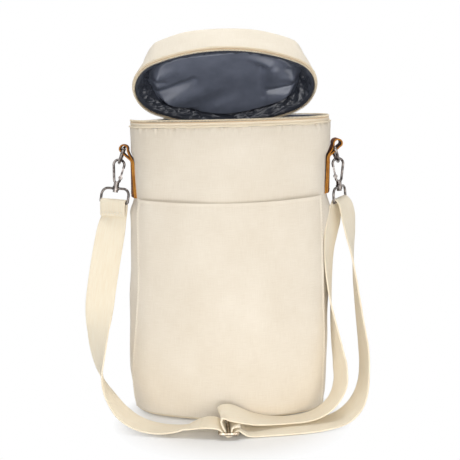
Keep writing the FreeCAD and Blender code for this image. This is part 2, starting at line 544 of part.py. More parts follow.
def leather_tab(side):
    """A folded leather strip: two layers sewn to the bag, and a loop round the ring's bar."""
    body = new_body("tab_%s" % side)
    inner, outer = "(end_radius + fit_gap)", "(end_radius + fit_gap + 2 * leather_thickness)"
    xe, half, r0, r1 = size(CENTRE_X), size("tab_width / 2"), size(inner), size(outer)
    a0, a1 = (math.degrees(math.asin(half / r)) for r in (r0, r1))
    plan = new_sketch(body, "tab_plan", offset=TAB_BOTTOM)
    g = plan.addGeometry([
        arc(xe, 0, r1, -a1, a1), arc(xe, 0, r0, -a0, a0),
        line(xe + math.sqrt(r1 ** 2 - half ** 2), half, xe + math.sqrt(r0 ** 2 - half ** 2), half),
        line(xe + math.sqrt(r0 ** 2 - half ** 2), -half, xe + math.sqrt(r1 ** 2 - half ** 2), -half)], False)
    for first, second in (((0, 2), (2, 1)), ((2, 2), (1, 2)), ((1, 1), (3, 1)), ((3, 2), (0, 1))):
        rule(plan, "Coincident", g[first[0]], first[1], g[second[0]], second[1])
    rule(plan, "Coincident", g[0], 3, g[1], 3)
    rule(plan, "PointOnObject", g[0], 3, -1)
    rule(plan, "Horizontal", g[2])
    rule(plan, "Horizontal", g[3])
    dim(plan, "centre", CENTRE_X, "DistanceX", -1, 1, g[0], 3)
    dim(plan, "outer", outer, "Radius", g[0])
    dim(plan, "inner", inner, "Radius", g[1])
    dim(plan, "upper", "tab_width / 2", "DistanceY", -1, 1, g[2], 1)
    dim(plan, "lower", "tab_width / 2", "DistanceY", g[3], 1, -1, 1)
    sewn = body.newObject("PartDesign::Pad", "tab_sewn")
    sewn.Profile = plan
    bind(sewn, Length="tab_length")

    bar = (size("bag_width / 2 + ring_reach"), size(RING_Z))
    hole = size("ring_wire / 2 + ring_clearance")
    skin = size("leather_thickness")
    root = size("%s - tab_overlap" % TAB_ROOT)
    left = size("bag_width / 2 + fit_gap")
    right = left + 2 * skin

    def touch(x, side_sign):
        """The point where a line up from the root touches the loop's outside."""
        dx, dz = bar[0] - x, bar[1] - root
        reach, r = math.hypot(dx, dz), hole + skin
        angle = math.atan2(dz, dx) + side_sign * math.asin(r / reach)
        run = math.sqrt(reach ** 2 - r ** 2)
        return x + run * math.cos(angle), root + run * math.sin(angle), angle

    lx, lz, la = touch(left, 1)
    rx, rz, ra = touch(right, -1)
    angles = [math.degrees(math.atan2(z - bar[1], x - bar[0])) for x, z in ((rx, rz), (lx, lz))]

    def draw(sketch):
        """The loop seen from the front: a teardrop of one thickness."""
        def inward(angle, sign):
            return -sign * math.sin(angle) * skin, sign * math.cos(angle) * skin
        lo, ro = inward(la, -1), inward(ra, 1)
        li, ri = (lx + lo[0], lz + lo[1]), (rx + ro[0], rz + ro[1])
        cross = math.sin(ra - la)
        dx, dz = ri[0] - li[0], ri[1] - li[1]
        along = (dx * math.sin(ra) - dz * math.cos(ra)) / cross
        apex = (li[0] + along * math.cos(la), li[1] + along * math.sin(la))
        g = sketch.addGeometry([
            line(left, root, lx, lz), arc(bar[0], bar[1], hole + skin, *angles), line(rx, rz, right, root),
            line(right, root, left, root), line(apex[0], apex[1], *li), arc(bar[0], bar[1], hole, *angles),
            line(ri[0], ri[1], *apex)], False)
        rule(sketch, "Tangent", g[0], 2, g[1], 2)
        rule(sketch, "Tangent", g[1], 1, g[2], 1)
        rule(sketch, "Coincident", g[2], 2, g[3], 1)
        rule(sketch, "Coincident", g[3], 2, g[0], 1)
        rule(sketch, "Tangent", g[4], 2, g[5], 2)
        rule(sketch, "Tangent", g[5], 1, g[6], 1)
        rule(sketch, "Coincident", g[6], 2, g[4], 1)
        rule(sketch, "Coincident", g[1], 3, g[5], 3)
        rule(sketch, "Parallel", g[0], g[4])
        rule(sketch, "Parallel", g[2], g[6])
        rule(sketch, "Horizontal", g[3])
        dim(sketch, "bar_x", "bag_width / 2 + ring_reach", "DistanceX", -1, 1, g[1], 3)
        dim(sketch, "bar_z", RING_Z, "DistanceY", -1, 1, g[1], 3)
        dim(sketch, "hole", "ring_wire / 2 + ring_clearance", "Radius", g[5])
        dim(sketch, "skin", "ring_wire / 2 + ring_clearance + leather_thickness", "Radius", g[1])
        dim(sketch, "root_x", "bag_width / 2 + fit_gap", "DistanceX", -1, 1, g[0], 1)
        dim(sketch, "root_z", "%s - tab_overlap" % TAB_ROOT, "DistanceY", -1, 1, g[0], 1)
        dim(sketch, "root_out", "2 * leather_thickness", "DistanceX", g[3], 2, g[3], 1)

    across(body, "tab_loop", "Pad", "tab_width", draw)
    return body


def d_ring(side):
    """A ring of round wire: a straight bar, two short sides and a half circle."""
    body = new_body("ring_%s" % side)
    a, c = size("ring_half"), size("ring_corner")
    leg = size("ring_drop") - a
    path = new_sketch(body, "ring_path", "YZ_Plane")
    g = path.addGeometry([
        line(c - a, 0, a - c, 0), arc(a - c, -c, c, 0, 90), line(a, -c, a, -leg),
        arc(0, -leg, a, 180, 360), line(-a, -leg, -a, -c), arc(c - a, -c, c, 90, 180)], False)
    for first, second in (((0, 2), (1, 2)), ((1, 1), (2, 1)), ((2, 2), (3, 2)), ((3, 1), (4, 1)),
                          ((4, 2), (5, 2)), ((5, 1), (0, 1))):
        rule(path, "Tangent", g[first[0]], first[1], g[second[0]], second[1])
    rule(path, "PointOnObject", g[3], 3, -2)
    rule(path, "Vertical", g[2])
    rule(path, "Vertical", g[4])
    rule(path, "Equal", g[1], g[5])
    rule(path, "Horizontal", g[0])
    rule(path, "PointOnObject", g[0], 1, -1)
    dim(path, "half", "ring_half", "Radius", g[3])
    dim(path, "corner", "ring_corner", "Radius", g[1])
    dim(path, "drop", "ring_drop - ring_half", "DistanceY", g[3], 3, -1, 1)
    profile = new_sketch(body, "ring_wire_round", "XZ_Plane", offset="ring_half - ring_corner")
    circle(profile, "0", "0", "ring_wire / 2")
    sweep(body, "ring_sweep", profile, path)
    return body


def hook(side):
    """A snap hook: a bent eye with a nose and a heel, the gate's cheeks, and a turned swivel stem."""
    body = new_body("hook_%s" % side)
    h, foot, zt, zb = (size(e) for e in ("hook_half", "hook_foot", EYE_TOP, EYE_LOW))
    slant = math.degrees(math.asin(size(LEG_SLANT)))
    heel_at = on_leg("heel_length")
    heel, low, high, nose = ([size(e) for e in on_leg(run)] for run in (
        "heel_length", "0", LEG_LENGTH, "%s - nose_length" % LEG_LENGTH))
    path = new_sketch(body, "hook_path", "XZ_Plane")
    g = path.addGeometry([line(*heel, *low), arc(0, zb, foot, 180 + slant, 360 - slant),
                          line(-low[0], low[1], -high[0], high[1]), arc(0, zt, h, -slant, 180 + slant),
                          line(*high, *nose)], False)
    for i in range(4):
        rule(path, "Tangent", g[i], 2, g[i + 1], 1)
    rule(path, "Tangent", g[0], g[4])
    rule(path, "PointOnObject", g[1], 3, -2)
    rule(path, "PointOnObject", g[3], 3, -2)
    dim(path, "half", "hook_half", "Radius", g[3])
    dim(path, "foot", "hook_foot", "Radius", g[1])
    dim(path, "eye_top", EYE_TOP, "DistanceY", -1, 1, g[3], 3)
    dim(path, "eye_low", EYE_LOW, "DistanceY", -1, 1, g[1], 3)
    dim(path, "heel", "heel_length", "Distance", g[0])
    dim(path, "nose", "nose_length", "Distance", g[4])
    profile = new_sketch(body, "hook_wire_round", offset=heel_at[1])
    circle(profile, heel_at[0], "0", "hook_wire / 2")
    sweep(body, "hook_sweep", profile, path)
    across(body, "hook_cheeks", "Pad", "cheek_width",
           lambda s: circle(s, PIVOT_X, PIVOT_Z, "cheek_radius"))
    across(body, "hook_slot", "Pocket", "knuckle_width + 2 * pivot_gap",
           lambda s: circle(s, PIVOT_X, PIVOT_Z, "cheek_radius + pivot_gap"))
    across(body, "hook_pin_hole", "Pocket", "cheek_width + 1",
           lambda s: circle(s, PIVOT_X, PIVOT_Z, "pin_radius + pin_gap"))
    bottom = "(%s - collar_height)" % COLLAR_Z
    stem_low = "(%s - swivel_gap)" % BOSS_LOW
    stepped_turn(body, "hook_stem", "Revolution", ["collar_radius", "stem_radius", "head_radius"],
                 [COLLAR_Z, bottom, stem_low, "%s - head_height" % stem_low])
    return body


def gate(side):
    """The hook's gate: a knuckle between the cheeks and a flat bar up to the nose."""
    body = new_body("gate_%s" % side)
    low, high = "heel_length + pivot_rise", "%s - nose_length - gate_gap" % LEG_LENGTH
    inside, outside = "(-gate_width / 2)", "(gate_width / 2)"
    across(body, "gate_knuckle", "Pad", "knuckle_width",
           lambda s: circle(s, PIVOT_X, PIVOT_Z, "knuckle_radius"))
    across(body, "gate_bar", "Pad", "knuckle_width",
           lambda s: outline(s, [on_leg(run, aside) for run, aside in (
               (low, inside), (low, outside), (high, outside), (high, inside))]))
    across(body, "gate_pin_hole", "Pocket", "knuckle_width + 1",
           lambda s: circle(s, PIVOT_X, PIVOT_Z, "pin_radius + pin_gap"))
    return body


def gate_pin(side):
    pin = doc.addObject("Part::Cylinder", "gate_pin_%s" % side)
    bind(pin, Radius="pin_radius", Height="cheek_width")
    return pin


def strap_loop(side):
    """The strap's wire loop, with the boss that the hook's stem turns in."""
    body = new_body("strap_loop_%s" % side)
    rounded_frame(body, "loop_frame", "XZ_Plane", LOOP_HALF, LOOP_LOW, LOOP_TOP, "loop_corner",
                  "loop_shoulder", "loop_wire / 2")
    stepped_turn(body, "loop_boss", "Revolution", ["boss_radius"], [BOSS_TOP, BOSS_LOW])
    doc.recompute()
    full = body.Tip.Shape.Volume
    groove = stepped_turn(body, "loop_bore", "Groove", ["stem_radius + swivel_gap"],
                          ["%s + 1" % BOSS_TOP, "%s - 1" % BOSS_LOW])
    doc.recompute()
    if groove.Shape.Volume >= full:
        raise RuntimeError("the swivel's bore takes nothing away")
    return body


# Each side's hardware, drawn for the right side and turned round for the left.
loops = {}
for side, turn in (("left", 180), ("right", 0)):
    face = FreeCAD.Rotation(V(0, 0, 1), turn)
    node(leather_tab(side), "tab_" + side, FreeCAD.Placement(V(), face))
    sideways = face.multVec(V(1, 0, 0))
    bar_at = sideways * size("bag_width / 2 + ring_reach") + V(0, 0, size(RING_Z))
    ring_turn = face.multiply(FreeCAD.Rotation(V(0, 1, 0), -size(side + "_ring_tilt")))
    node(d_ring(side), "ring_" + side, FreeCAD.Placement(bar_at, ring_turn))
    hang = bar_at + ring_turn.multVec(V(0, 0, -size("ring_drop")))
    lean = FreeCAD.Rotation(V(1, 0, 0), size(side + "_hook_lean"))
    hook_turn = face.multiply(lean).multiply(FreeCAD.Rotation(V(0, 1, 0), -size(side + "_hook_tilt")))
    hook_place = FreeCAD.Placement(hang, hook_turn)
    node(hook(side), "hook_" + side, hook_place)
    node(gate(side), "gate_" + side, hook_place)
    pin_local = FreeCAD.Placement(V(size(PIVOT_X), size("cheek_width / 2"), size(PIVOT_Z)),
                                  FreeCAD.Rotation(V(1, 0, 0), 90))
    node(gate_pin(side), "gate_pin_" + side, hook_place.multiply(pin_local))
    swivel = FreeCAD.Rotation(V(0, 0, 1), size(side + "_loop_turn"))
    loop_place = FreeCAD.Placement(hang, hook_turn.multiply(swivel))
    node(strap_loop(side), "strap_loop_" + side, loop_place)
    loops[side] = loop_place

# The three-bar slide on the floor in front of the bag.
glide = new_body("tri_glide")
rounded_frame(glide, "glide_frame", "XY_Plane", "glide_half", "-" + GLIDE_HALF_Y, GLIDE_HALF_Y,
              "glide_corner", "glide_corner", "glide_wire / 2")
across(glide, "glide_bar", "Pad", "2 * %s" % GLIDE_HALF_Y, lambda s: circle(s, "0", "0", "glide_wire / 2"))
SEWN = "(glide_wire / 2 + strap_gap + strap_thickness)"
UNDER = "(%s + strap_gap + strap_thickness / 2)" % SEWN
OVER = "(glide_wire / 2 + strap_gap + strap_thickness / 2)"
FLOOR_STRAP = "(strap_thickness / 2 + strap_gap)"
glide_at = V(size("glide_x"), -size("bag_depth / 2 + glide_standoff"), size("%s + %s" % (UNDER, FLOOR_STRAP)))
node(glide, "tri_glide", FreeCAD.Placement(glide_at, FreeCAD.Rotation()))


def arc_run(centre, across_way, up_way, radius, start, end, count, width_way):
    """Stations of a strap bent round a bar, with the direction of its width."""
    run = []
    for i in range(count):
        angle = math.radians(start + (end - start) * i / (count - 1))
        run.append((centre + across_way * (radius * math.cos(angle)) + up_way * (radius * math.sin(angle)),
                    width_way))
    return run


def smooth_run(poles, count):
    """Stations along a quadratic B-spline whose poles carry the direction of the width."""
    curve = Part.BSplineCurve()
    spans = len(poles) - 2
    curve.buildFromPolesMultsKnots([p for p, way in poles], [3] + [1] * (spans - 1) + [3],
                                   [float(k) for k in range(spans + 1)], False, 2)
    greville = [0.0] + [i + 0.5 for i in range(spans)] + [float(spans)]
    run = []
    for i in range(count):
        u = spans * i / (count - 1)
        k = max(j for j in range(len(greville) - 1) if greville[j] <= u)
        f = (u - greville[k]) / (greville[k + 1] - greville[k])
        way = poles[k][1] * (1 - f) + poles[k + 1][1] * f
        run.append((curve.value(u), way))
    return run


def webbing(label, stations):
    """A flat strap lofted through a thin rectangle at each station."""
    half, skin = size("strap_width / 2"), size("strap_thickness / 2")
    wires = []
    last = len(stations) - 1
    for i, (point, way) in enumerate(stations):
        along = stations[min(i + 1, last)][0] - stations[max(i - 1, 0)][0]
        along.normalize()
        wide = way - along * way.dot(along)
        wide.normalize()
        flat = along.cross(wide)
        corners = [point + wide * (half * a) + flat * (skin * b)
                   for a, b in ((1, 1), (-1, 1), (-1, -1), (1, -1))]
        wires.append(Part.makePolygon(corners + corners[:1]))
    strap = doc.addObject("Part::Feature", label)
    strap.Shape = Part.makeLoft(wires, True, True)
    return node(strap, label)


def turned(angle):
    """A level direction, as degrees round from +X."""
    return V(math.cos(math.radians(angle)), math.sin(math.radians(angle)), 0)


bar_radius = size("loop_wire / 2 + strap_gap + strap_thickness / 2")
side_x = size("bag_width / 2")
front_y = -size("bag_depth / 2")
floor_z = size(FLOOR_STRAP)
level_y = V(0, 1, 0)
up = V(0, 0, 1)

# The left length: folded round the left loop, down with a quarter twist, and along the floor.
bar_left = loops["left"].multVec(V(0, 0, size(LOOP_LOW)))
wide_left = loops["left"].Rotation.multVec(V(-1, 0, 0))
up_left = loops["left"].Rotation.multVec(V(0, 0, 1))
snug = size("strap_thickness / 2 + strap_gap / 2")
drop = bar_left.z
split_x = glide_at.x - size("3 * glide_half")
behind = up_left.cross(wide_left)
tail = up_left * -size("tail_length")
left_run = [(bar_left + tail + behind * snug, wide_left)]
left_run += arc_run(bar_left, behind, up_left, bar_radius, 0, 180, 9, wide_left)
left_run += smooth_run([
    (bar_left + tail * 0.75 - behind * snug, wide_left),
    (V(-side_x - 22, -13, drop * 0.86), turned(-20)),
    (V(-side_x - 29, -15, drop * 0.70), turned(-18)),
    (V(-side_x - 36, -20, drop * 0.52), turned(-28)),
    (V(-side_x - 39, -28, drop * 0.35), turned(-52)),
    (V(-side_x - 36, -40, drop * 0.21), turned(-84)),
    (V(-side_x - 24, front_y + 0, drop * 0.115), turned(-100)),
    (V(-side_x - 4, front_y - 14, drop * 0.04), turned(-98)),
    (V(-side_x * 0.78, front_y - 21, floor_z), turned(-95)),
    (V(-side_x * 0.52, front_y - 25, floor_z), turned(-92)),
    (V(split_x - 16, glide_at.y, floor_z), turned(-90)),
    (V(split_x - 8, glide_at.y, floor_z), turned(-90)),
    (V(split_x, glide_at.y, floor_z), turned(-90))], 34)
webbing("strap_left", left_run)

# The right length: through the slide, up outside, over the right loop, down inside, back to the slide.
bar_right = loops["right"].multVec(V(0, 0, size(LOOP_LOW)))
wide_right = loops["right"].Rotation.multVec(V(1, 0, 0))
up_right = loops["right"].Rotation.multVec(V(0, 0, 1))
out_right = up_right.cross(wide_right) * -1
right_drop = bar_right.z
ahead = V(1, 0, 0)
over, under, reach = size(OVER), size(UNDER), size("glide_half")
cross_angle = math.degrees(math.acos((over + under) / reach))
right_run = [(V(split_x + step, glide_at.y, floor_z + lift), level_y)
             for step, lift in ((0.3, 0), (2.5, 0), (5, 0.7), (8, 2.8))]
right_run += arc_run(glide_at - ahead * reach, ahead, up, over, 120, cross_angle, 5, level_y)
right_run += arc_run(glide_at, ahead, up, under, 180 + cross_angle, 360 - cross_angle, 7, level_y)
right_run += arc_run(glide_at + ahead * reach, ahead, up, over, 180 - cross_angle, 60, 5, level_y)
edge_x = glide_at.x + reach
right_run += smooth_run([
    (V(edge_x + 9, glide_at.y, floor_z + 0.6), turned(90)),
    (V(edge_x + 24, glide_at.y + 2, floor_z), turned(90)),
    (V(side_x * 0.55, front_y - 24, floor_z), turned(90)),
    (V(side_x * 0.85, front_y - 19, floor_z), turned(92)),
    (V(side_x + 17, front_y - 10, right_drop * 0.045), turned(95)),
    (V(side_x + 35, front_y + 8, right_drop * 0.13), turned(100)),
    (V(side_x + 39, -30, right_drop * 0.28), turned(106)),
    (V(side_x + 35, -18, right_drop * 0.46), turned(104)),
    (V(side_x + 30, -9, right_drop * 0.64), turned(96)),
    (V(side_x + 25, -4, right_drop * 0.80), turned(80)),
    (bar_right - up_right * 14 + out_right * 5.5, wide_right),
    (bar_right + out_right * bar_radius, wide_right)], 34)
right_run += arc_run(bar_right, out_right, up_right, bar_radius, 15, 180, 8, wide_right)
right_run += smooth_run([
    (bar_right - up_right * 8 - out_right * 3.5, wide_right),
    (bar_right - up_right * 18 - out_right * 4.5, turned(66)),
    (V(side_x + 6.5, -3, right_drop * 0.76), turned(76)),
    (V(side_x + 5.5, -8, right_drop * 0.60), turned(86)),
    (V(side_x + 7, -20, right_drop * 0.44), turned(100)),
    (V(side_x + 10, -36, right_drop * 0.29), turned(112)),
    (V(side_x + 8, front_y + 2, right_drop * 0.19), turned(114)),
    (V(side_x - 8, front_y - 13, right_drop * 0.105), turned(104)),
    (V(side_x * 0.62, front_y - 21, floor_z + 6), turned(94)),
    (V(side_x * 0.38, front_y - 25, floor_z + 5), turned(90)),
    (V(glide_at.x + 24, glide_at.y + 2, floor_z + 10), turned(90)),
    (V(glide_at.x + 10, glide_at.y, glide_at.z + 15), turned(90)),
    (V(glide_at.x - 5, glide_at.y, glide_at.z + 19), turned(90)),
    (V(glide_at.x - 6, glide_at.y, glide_at.z + 9), turned(90)),
    (glide_at - ahead * size("%s - strap_thickness / 2" % SEWN) + up * 1.5, turned(90))], 44)
right_run += arc_run(glide_at, ahead, up, size("%s - strap_thickness / 2" % SEWN), 180, 360, 9, level_y)
right_run += [(glide_at + V(size("%s - strap_thickness / 2" % SEWN) - 0.6, 0, 7), level_y)]
webbing("strap_right", right_run)

doc.recompute()
os.makedirs("parts", exist_ok=True)
for label, thing in sorted(nodes.items()):
    if "Invalid" in thing.State or "Error" in thing.State:
        raise RuntimeError("%s did not recompute" % label)
    if thing.Shape.isNull() or not thing.Shape.isValid() or len(thing.Shape.Solids) != 1:
        raise RuntimeError("%s is not one valid solid" % label)
    thing.Shape.exportStep("parts/%s.step" % label)
print("%d parts written" % len(nodes))
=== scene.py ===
"""Looks of an insulated two-bottle canvas carrier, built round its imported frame, in metres."""
import logging
import math
from dataclasses import dataclass
from enum import Enum
from functools import partial
from typing import Callable, Sequence

import bpy
import numpy as np
from mathutils import Matrix, Vector


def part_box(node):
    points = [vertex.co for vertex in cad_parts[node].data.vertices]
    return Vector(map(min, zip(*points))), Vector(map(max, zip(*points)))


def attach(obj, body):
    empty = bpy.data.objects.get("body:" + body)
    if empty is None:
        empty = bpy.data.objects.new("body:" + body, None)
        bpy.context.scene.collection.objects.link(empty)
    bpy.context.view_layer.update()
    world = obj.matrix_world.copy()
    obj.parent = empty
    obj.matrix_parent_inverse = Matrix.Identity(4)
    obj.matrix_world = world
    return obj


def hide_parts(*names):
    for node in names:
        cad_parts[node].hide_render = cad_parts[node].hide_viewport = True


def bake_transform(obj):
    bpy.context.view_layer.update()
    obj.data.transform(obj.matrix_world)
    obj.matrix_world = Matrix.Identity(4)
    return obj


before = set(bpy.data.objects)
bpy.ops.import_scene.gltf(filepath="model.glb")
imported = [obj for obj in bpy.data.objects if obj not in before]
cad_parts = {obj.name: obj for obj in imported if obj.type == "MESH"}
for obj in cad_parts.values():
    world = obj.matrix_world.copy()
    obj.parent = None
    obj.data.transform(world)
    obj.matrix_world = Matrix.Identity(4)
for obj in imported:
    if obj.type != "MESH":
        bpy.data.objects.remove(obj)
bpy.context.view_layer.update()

LOG = logging.getLogger("carrier")
MM = 0.001
FULL_TURN = 2.0 * math.pi
CLOTH_UV = "cloth"
Colour = tuple[float, float, float]
Placing = Callable[[np.ndarray, np.ndarray], np.ndarray]
Moving = Callable[[np.ndarray], np.ndarray]


class Side(Enum):
    """The two ends of the carrier, as seen from the front."""

    LEFT = -1
    RIGHT = 1

    @property
    def word(self) -> str:
        """The side's name, as the frame's nodes spell it."""
        return self.name.lower()


# Shader values and materials


class Channel:
    """One shader socket's value, on which arithmetic adds Math nodes."""

    def __init__(self, graph: "NodeGraph", socket: bpy.types.NodeSocket) -> None:
        """Keep the socket and the graph that it belongs to."""
        self.graph = graph
        self.socket = socket

    def math(self, operation: str, *others: "Channel | float") -> "Channel":
        """Add a Math node of an operation on this value and others."""
        return self.graph.operate(operation, self, *others)

    def held(self) -> "Channel":
        """The value, held between 0 and 1."""
        return self.math("MINIMUM", 1.0).math("MAXIMUM", 0.0)

    def __add__(self, other: "Channel | float") -> "Channel":
        """Sum."""
        return self.math("ADD", other)

    def __radd__(self, other: float) -> "Channel":
        """Sum, reflected."""
        return self.math("ADD", other)

    def __sub__(self, other: "Channel | float") -> "Channel":
        """Difference."""
        return self.math("SUBTRACT", other)

    def __rsub__(self, other: float) -> "Channel":
        """Difference, reflected."""
        return self.graph.operate("SUBTRACT", other, self)

    def __mul__(self, other: "Channel | float") -> "Channel":
        """Product."""
        return self.math("MULTIPLY", other)

    def __rmul__(self, other: float) -> "Channel":
        """Product, reflected."""
        return self.math("MULTIPLY", other)

    def __truediv__(self, other: "Channel | float") -> "Channel":
        """Quotient."""
        return self.math("DIVIDE", other)


class NodeGraph:
    """A node tree, and the ways in which nodes are added to it."""

    def __init__(self, tree: bpy.types.NodeTree) -> None:
        """Keep the tree."""
        self.tree = tree

    def node(self, kind: str, settings: dict | None = None, inputs: dict | None = None) -> bpy.types.Node:
        """Add a node.

        Args:
            kind: the node's type name.
            settings: properties that are set first.
            inputs: values or channels for its sockets, by name or number.

        Returns:
            The node.
        """
        made = self.tree.nodes.new(kind)
        for name, value in (settings or {}).items():
            setattr(made, name, value)
        for key, value in (inputs or {}).items():
            self.feed(made.inputs[key], value)
        return made

    def feed(self, socket: bpy.types.NodeSocket, value: "Channel | float | Sequence[float]") -> None:
        """Link a channel to a socket, or set its number.

        Args:
            socket: the socket.
            value: a channel, a number or a row of numbers.
        """
        if isinstance(value, Channel):
            self.tree.links.new(value.socket, socket)
        else:
            socket.default_value = value

    def out(self, made: bpy.types.Node, key: str | int = 0) -> Channel:
        """A node's output as a channel."""
        return Channel(self, made.outputs[key])

    def operate(self, operation: str, *values: "Channel | float") -> Channel:
        """Add a Math node on values and give its result."""
        return self.out(self.node("ShaderNodeMath", {"operation": operation}, dict(enumerate(values))))

    def seen(self) -> Channel:
        """1 on rays that show a surface to the camera, also in metal or glass, and 0 on rays of light."""
        path = self.node("ShaderNodeLightPath")
        kinds = ("Camera", "Glossy", "Transmission")
        camera, gloss, glass = (self.out(path, "Is %s Ray" % kind) for kind in kinds)
        return (camera + gloss + glass).math("MINIMUM", 1.0)


class Recipe(NodeGraph):
    """A material with a Principled surface, and the nodes that feed it."""

    def __init__(self, name: str) -> None:
        """Start an empty material."""
        self.material = bpy.data.materials.new(name)
        self.material.use_nodes = True
        super().__init__(self.material.node_tree)
        self.shader = self.tree.nodes["Principled BSDF"]
        self.output = self.tree.nodes["Material Output"]

    def mapped(self, source: Channel, scale: Sequence[float], turn: float = 0.0,
               shift: Sequence[float] = (0.0, 0.0, 0.0)) -> Channel:
        """Coordinates that are scaled, turned about Z by radians, and shifted."""
        return self.out(self.node("ShaderNodeMapping", {}, {
            "Vector": source, "Scale": scale, "Rotation": (0.0, 0.0, turn), "Location": shift}))

    def on_cloth(self, across: float = 1.0, along: float = 1.0, turn: float = 0.0) -> Channel:
        """The piece's own cloth map, in metres times two factors."""
        source = self.out(self.node("ShaderNodeUVMap", {"uv_map": CLOTH_UV}))
        return self.mapped(source, (across, along, 1.0), turn)

    def on_object(self, scale: Sequence[float], shift: Sequence[float] = (0.0, 0.0, 0.0)) -> Channel:
        """Object coordinates, in metres times three factors, and shifted."""
        return self.mapped(self.out(self.node("ShaderNodeTexCoord"), "Object"), scale, 0.0, shift)

    def noise(self, where: Channel, detail: float = 2.0, roughness: float = 0.5) -> Channel:
        """Smooth noise between 0 and 1 at coordinates that are already scaled."""
        return self.out(self.node("ShaderNodeTexNoise", {}, {
            "Vector": where, "Scale": 1.0, "Detail": detail, "Roughness": roughness}))

    def split(self, where: Channel) -> tuple[Channel, Channel]:
        """The first two parts of a vector."""
        parts = self.node("ShaderNodeSeparateXYZ", {}, {0: where})
        return self.out(parts, 0), self.out(parts, 1)

    def mix(self, share: Channel, first: "Colour | Channel", second: "Colour | Channel") -> Channel:
        """Mix two colours.

        Args:
            share: 0 for the first and 1 for the second.
            first: a colour or its channel.
            second: a colour or its channel.

        Returns:
            The mixed colour's channel.
        """
        made = self.node("ShaderNodeMix", {"data_type": "RGBA"})
        self.feed(made.inputs["Factor"], share)
        for key, colour in ((6, first), (7, second)):
            self.feed(made.inputs[key], colour if isinstance(colour, Channel) else (*colour, 1.0))
        return self.out(made, 2)

    def bump(self, height: Channel, depth: float) -> Channel:
        """A normal bumped by a height of the given depth in metres."""
        return self.out(self.node("ShaderNodeBump", {}, {
            "Height": height, "Distance": depth, "Strength": 1.0}))

    def surface(self, **sockets: "Channel | float | Sequence[float]") -> bpy.types.Material:
        """Set the Principled shader's sockets.

        Args:
            sockets: values or channels, by the sockets' names with underscores for spaces.

        Returns:
            The finished material.
        """
        for name, value in sockets.items():
            self.feed(self.shader.inputs[name.replace("_", " ")], value)
        return self.material


def tone(*parts: int) -> Colour:
    """A display colour, in parts of 0 to 255, as the linear one that shaders read."""
    shares = [part / 255.0 for part in parts]
    return tuple(s / 12.92 if s <= 0.04045 else ((s + 0.055) / 1.055) ** 2.4 for s in shares)


@dataclass(frozen=True)
class WovenCloth:
    """Plain-woven cotton: crossing threads, slubs and a faint mottle."""

    name: str
    pale: Colour
    dark: Colour
    pitch: float = 1.0 * MM
    relief: float = 0.14 * MM
    turn: float = 0.0
    sheen: float = 0.25
    thread_rate: float = 1500.0
    slub_rate: float = 70.0
    mottle_rate: float = 14.0

    def make(self) -> bpy.types.Material:
        """Build the material.

        Returns:
            The material.
        """
        recipe = Recipe(self.name)
        rate = FULL_TURN / self.pitch
        across, along = recipe.split(recipe.on_cloth(rate, rate, self.turn))
        weave = across.math("SINE") * along.math("SINE")
        warp = recipe.noise(recipe.on_cloth(self.thread_rate, self.slub_rate, self.turn), 3.0)
        weft = recipe.noise(recipe.on_cloth(self.slub_rate, self.thread_rate, self.turn), 3.0)
        mottle = recipe.noise(recipe.on_cloth(self.mottle_rate, self.mottle_rate, self.turn), 3.0, 0.6)
        slub = (warp + weft) * 0.5
        shade = (slub - 0.5) * 1.1 + (mottle - 0.5) * 0.9 + weave * 0.10 + 0.5
        height = weave * 0.35 + slub * 1.3
        return recipe.surface(
            Base_Color=self.colour(recipe, shade.held()), Roughness=0.86 + slub * 0.1,
            Normal=recipe.bump(height, self.relief), Sheen_Weight=self.sheen, Sheen_Roughness=0.5,
            Specular_IOR_Level=0.25)

    def colour(self, recipe: Recipe, shade: Channel) -> Channel:
        """The cloth's colour for a shade between 0 and 1."""
        return recipe.mix(shade, self.dark, self.pale)


@dataclass(frozen=True)
class ZipTapeCloth(WovenCloth):
    """Fine tape whose two long edges are tan: tan stitching, and painted shade in the grooves beside the coil
    and the welt.
    """

    # The seam tone stands for tan stitching together with painted shade in the grooves beside the coil and
    # the welt.
    seam: Colour = tone(206, 168, 120)
    seam_share: float = 0.62
    middle: float = 2.6 * MM
    plain: float = 1.35 * MM
    fade: float = 0.5 * MM

    def colour(self, recipe: Recipe, shade: Channel) -> Channel:
        """The cloth's colour, mixed towards both edges with the seam's tan, which is tan stitching and
        painted groove shade.

        Args:
            recipe: the material's recipe.
            shade: the cloth's shade between 0 and 1.

        Returns:
            The colour's channel.
        """
        _, up = recipe.split(recipe.on_cloth())
        # Painted groove shade, together with tan stitching: the tape turns tan towards both long edges.
        edge = (((up - self.middle).math("ABSOLUTE") - self.plain) / self.fade).held()
        return recipe.mix(edge * self.seam_share, super().colour(recipe, shade), self.seam)


@dataclass(frozen=True)
class WebbingCloth:
    """Heavy cotton webbing: fine ribs along its length, crossing picks and firm edges."""

    name: str
    pale: Colour
    dark: Colour
    width: float
    rib: float = 1.25 * MM
    pick: float = 1.0 * MM
    relief: float = 0.2 * MM

    def make(self) -> bpy.types.Material:
        """Build the material.

        Returns:
            The material.
        """
        recipe = Recipe(self.name)
        across, along = recipe.split(recipe.on_cloth())
        ribs = (across * (FULL_TURN / self.rib)).math("SINE")
        picks = (along * (FULL_TURN / self.pick) + ribs * 1.2).math("SINE")
        yarn = recipe.noise(recipe.on_cloth(900.0, 60.0), 3.0)
        mottle = recipe.noise(recipe.on_cloth(30.0, 18.0), 2.0)
        edge = ((across / self.width - 0.5).math("ABSOLUTE") * 2.0 - 0.9).math("MAXIMUM", 0.0) * 6.0
        shade = 0.55 + (yarn - 0.5) * 1.1 + (mottle - 0.5) * 0.5 + picks * 0.08 - edge * 0.12
        height = ribs * 0.4 + picks * 0.25 + yarn * 0.8
        return recipe.surface(
            Base_Color=recipe.mix(shade.held(), self.dark, self.pale), Roughness=0.82 + yarn * 0.12,
            Normal=recipe.bump(height, self.relief), Sheen_Weight=0.25, Sheen_Roughness=0.5,
            Specular_IOR_Level=0.25)


